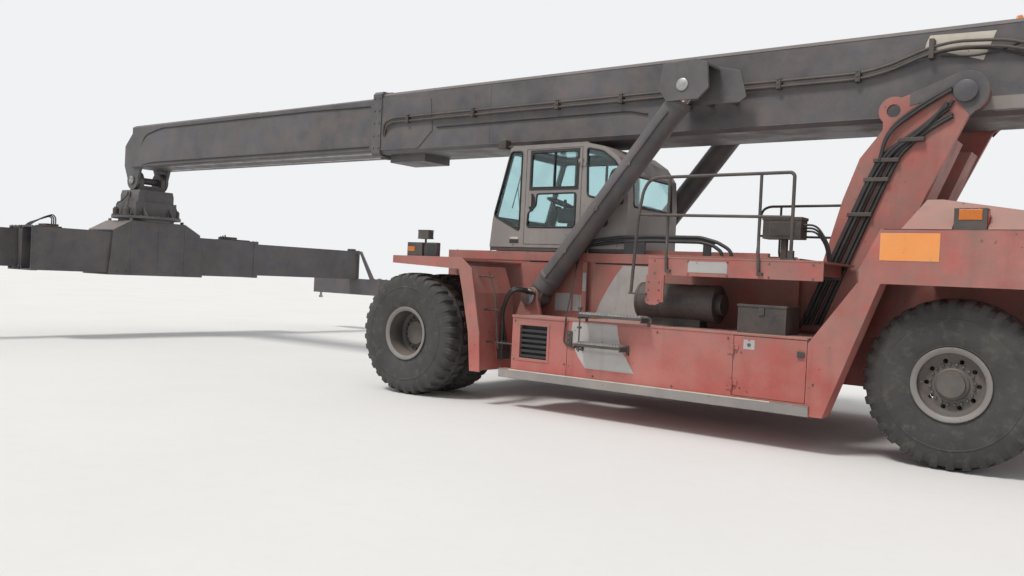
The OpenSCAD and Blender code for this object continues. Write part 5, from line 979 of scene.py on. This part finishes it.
for side, s in SIDES:
    body = "end_" + side
    boxes("corner_caps_" + side, SLATE, body, [
        (HEAD_X + end * LOCK_X - 0.13, HEAD_X + end * LOCK_X + 0.13, *span(s, 5.87, 6.175),
         END_TOP - 0.002, END_TOP + CAP_TOP) for end in BOTH])
    # bars that carry the tops of the two braces back to the end plate
    boxes("brace_bars_" + side, SLATE, body, [
        (*sorted((HEAD_X + s * a, HEAD_X + s * b)), *span(s, *BRACE_Y), BRACE_TOP - BRACE_H, BRACE_TOP)
        for a, b in BRACE_X], 0.003)
    bolts("corner_bolts_" + side, body, [
        ((HEAD_X + end * LOCK_X + dx, s * (END_Y + dy), END_TOP + CAP_TOP), "z", 1)
        for end in BOTH for dx in (-0.1, 0.1) for dy in (-0.12, 0.12)], 0.014, 0.012)
    mid = HEAD_X + s * TUBE_X
    block = (mid - 0.09, mid + 0.09, *span(s, 5.7, 5.84), 2.108, 2.17)
    boxes("end_block_" + side, BLACK, body, [block], 0.008)
    tubes("end_hoses_" + side, HOSE, body, [[(x, s * y, z) for y, z in (
        (5.77, 2.14), (5.86, 2.14), (5.9, 2.02), (5.9, 1.6), (5.96, 1.5), (5.99, 1.38))]
        for x in (mid - 0.05, mid + 0.05)], 0.011, 0.07)

# deck, hood and the units on the left catwalk
boxes("hood_slots", GASKET, "hood", [
    (-4.3 + 0.075 * i, -4.262 + 0.075 * i, y - 0.13, y + 0.13, DECK_Z, DECK_Z + 0.004)
    for i in range(11) for y in (-0.22, 0.22)], 0.0, slot="black_paint")
boxes("hood_rim", RED, "hood", [
    (x0, -3.405, y0, y1, DECK_Z, DECK_Z + 0.008)
    for x0, y0, y1 in ((-4.445, -0.424, -0.404), (-4.445, 0.404, 0.424), (-3.425, -0.404, 0.404))], 0.002)
tubes("hood_grip", BLACK, "hood", [[
    (-3.5, y, DECK_Z + up) for y, up in ((-0.09, 0), (-0.09, 0.045), (0.09, 0.045), (0.09, 0))]], 0.008, 0.02)
bolts("deck_bolts", "chassis", [
    ((x, s * 0.7, DECK_Z), "z", 1) for x in (0.3, -0.32, -0.94, -4.1, -4.6) for s in BOTH], 0.01, 0.008)
CLEANER = (1.33, 1.42)
bands = []
for x, r, w in ((-4.06, 0.214, 0.03), (-3.78, 0.213, 0.022), (-3.42, 0.213, 0.022), (-3.15, 0.216, 0.034)):
    bands.append(turned([(0.0, r - 0.006), (0.003, r), (w - 0.003, r), (w, r - 0.006)], (x, *CLEANER), "x"))
lid = [(0.0, 0.185), (0.014, 0.18), (0.022, 0.12), (0.022, 0.06), (0.034, 0.05), (0.036, AXIS_R)]
bands.append(turned(lid, (-3.12, *CLEANER), "x"))
round_solid("cleaner_bands", BLACK, "chassis", *bands)
boxes("battery_lids", BLACK, "chassis", [
    (-4.96, -4.42, 1.24, 1.66, 1.425, 1.452), (-4.72, -4.66, 1.655, 1.668, 1.34, 1.42)])
boxes("valve_lids", BLACK, "chassis", [
    (-4.98, -4.55, 1.192, 1.408, 2.36, 2.392), (-4.9, -4.63, 1.4, 1.407, 2.19, 2.34)], 0.005)
tubes("valve_hoses", HOSE, "chassis", [
    [(-4.96, 1.26 + 0.05 * i, 2.25 + 0.03 * i), (-5.08 - 0.02 * i, 1.26 + 0.05 * i, 2.25 + 0.03 * i),
     (-5.18 - 0.03 * i, 1.22 + 0.05 * i, 2.12), (-5.2 - 0.03 * i, 1.16 + 0.05 * i, 1.92)] for i in range(3)],
      0.011, 0.1)

# floor, world and light
FLOOR_R = 120
floor_mesh = bpy.data.meshes.new("floor")
floor_mesh.from_pydata([(x, y, 0) for x, y in on_circle(64, FLOOR_R)], [], [tuple(range(64))])
floor = bpy.data.objects.new("floor", floor_mesh)
scene.collection.objects.link(floor)
ground = Mat("pale_floor", 0.9)
ground.layers((0.76, 0.755, 0.745), ((0.7, 0.69, 0.68), ground.cloud(0.35, 0.4, 0.65), 0.35),
              ((0.66, 0.65, 0.64), ground.cloud(6, 0.5, 0.8), 0.2))
floor_mesh.materials.append(ground.m)

SEEN, LIGHTING = 0.9, 0.62      # the sky's strength where it is seen, and where it only lights
world = bpy.data.worlds.new("studio")
scene.world = world
world.use_nodes = True
tree = world.node_tree
back = tree.nodes["Background"]
back.inputs["Color"].default_value = (0.97, 0.985, 1.0, 1)
path = tree.nodes.new("ShaderNodeLightPath")


def either(a, b):
    node = tree.nodes.new("ShaderNodeMath")
    node.operation = "MAXIMUM"
    tree.links.new(a, node.inputs[0])
    tree.links.new(b, node.inputs[1])
    return node.outputs[0]


seen = either(path.outputs["Is Camera Ray"], path.outputs["Is Glossy Ray"])
seen = either(seen, path.outputs["Is Transmission Ray"])
level = tree.nodes.new("ShaderNodeMapRange")
level.inputs["To Min"].default_value = LIGHTING
level.inputs["To Max"].default_value = SEEN
tree.links.new(seen, level.inputs["Value"])
tree.links.new(level.outputs[0], back.inputs["Strength"])

lamp = bpy.data.lights.new("soft_sun", "SUN")
lamp.energy, lamp.angle, lamp.color = 2.1, math.radians(14), (1.0, 0.965, 0.92)
sun = bpy.data.objects.new("soft_sun", lamp)
sun.rotation_mode = "QUATERNION"
sun.rotation_quaternion = Vector((0.2, 0.62, 1.0)).to_track_quat("Z", "Y")
scene.collection.objects.link(sun)
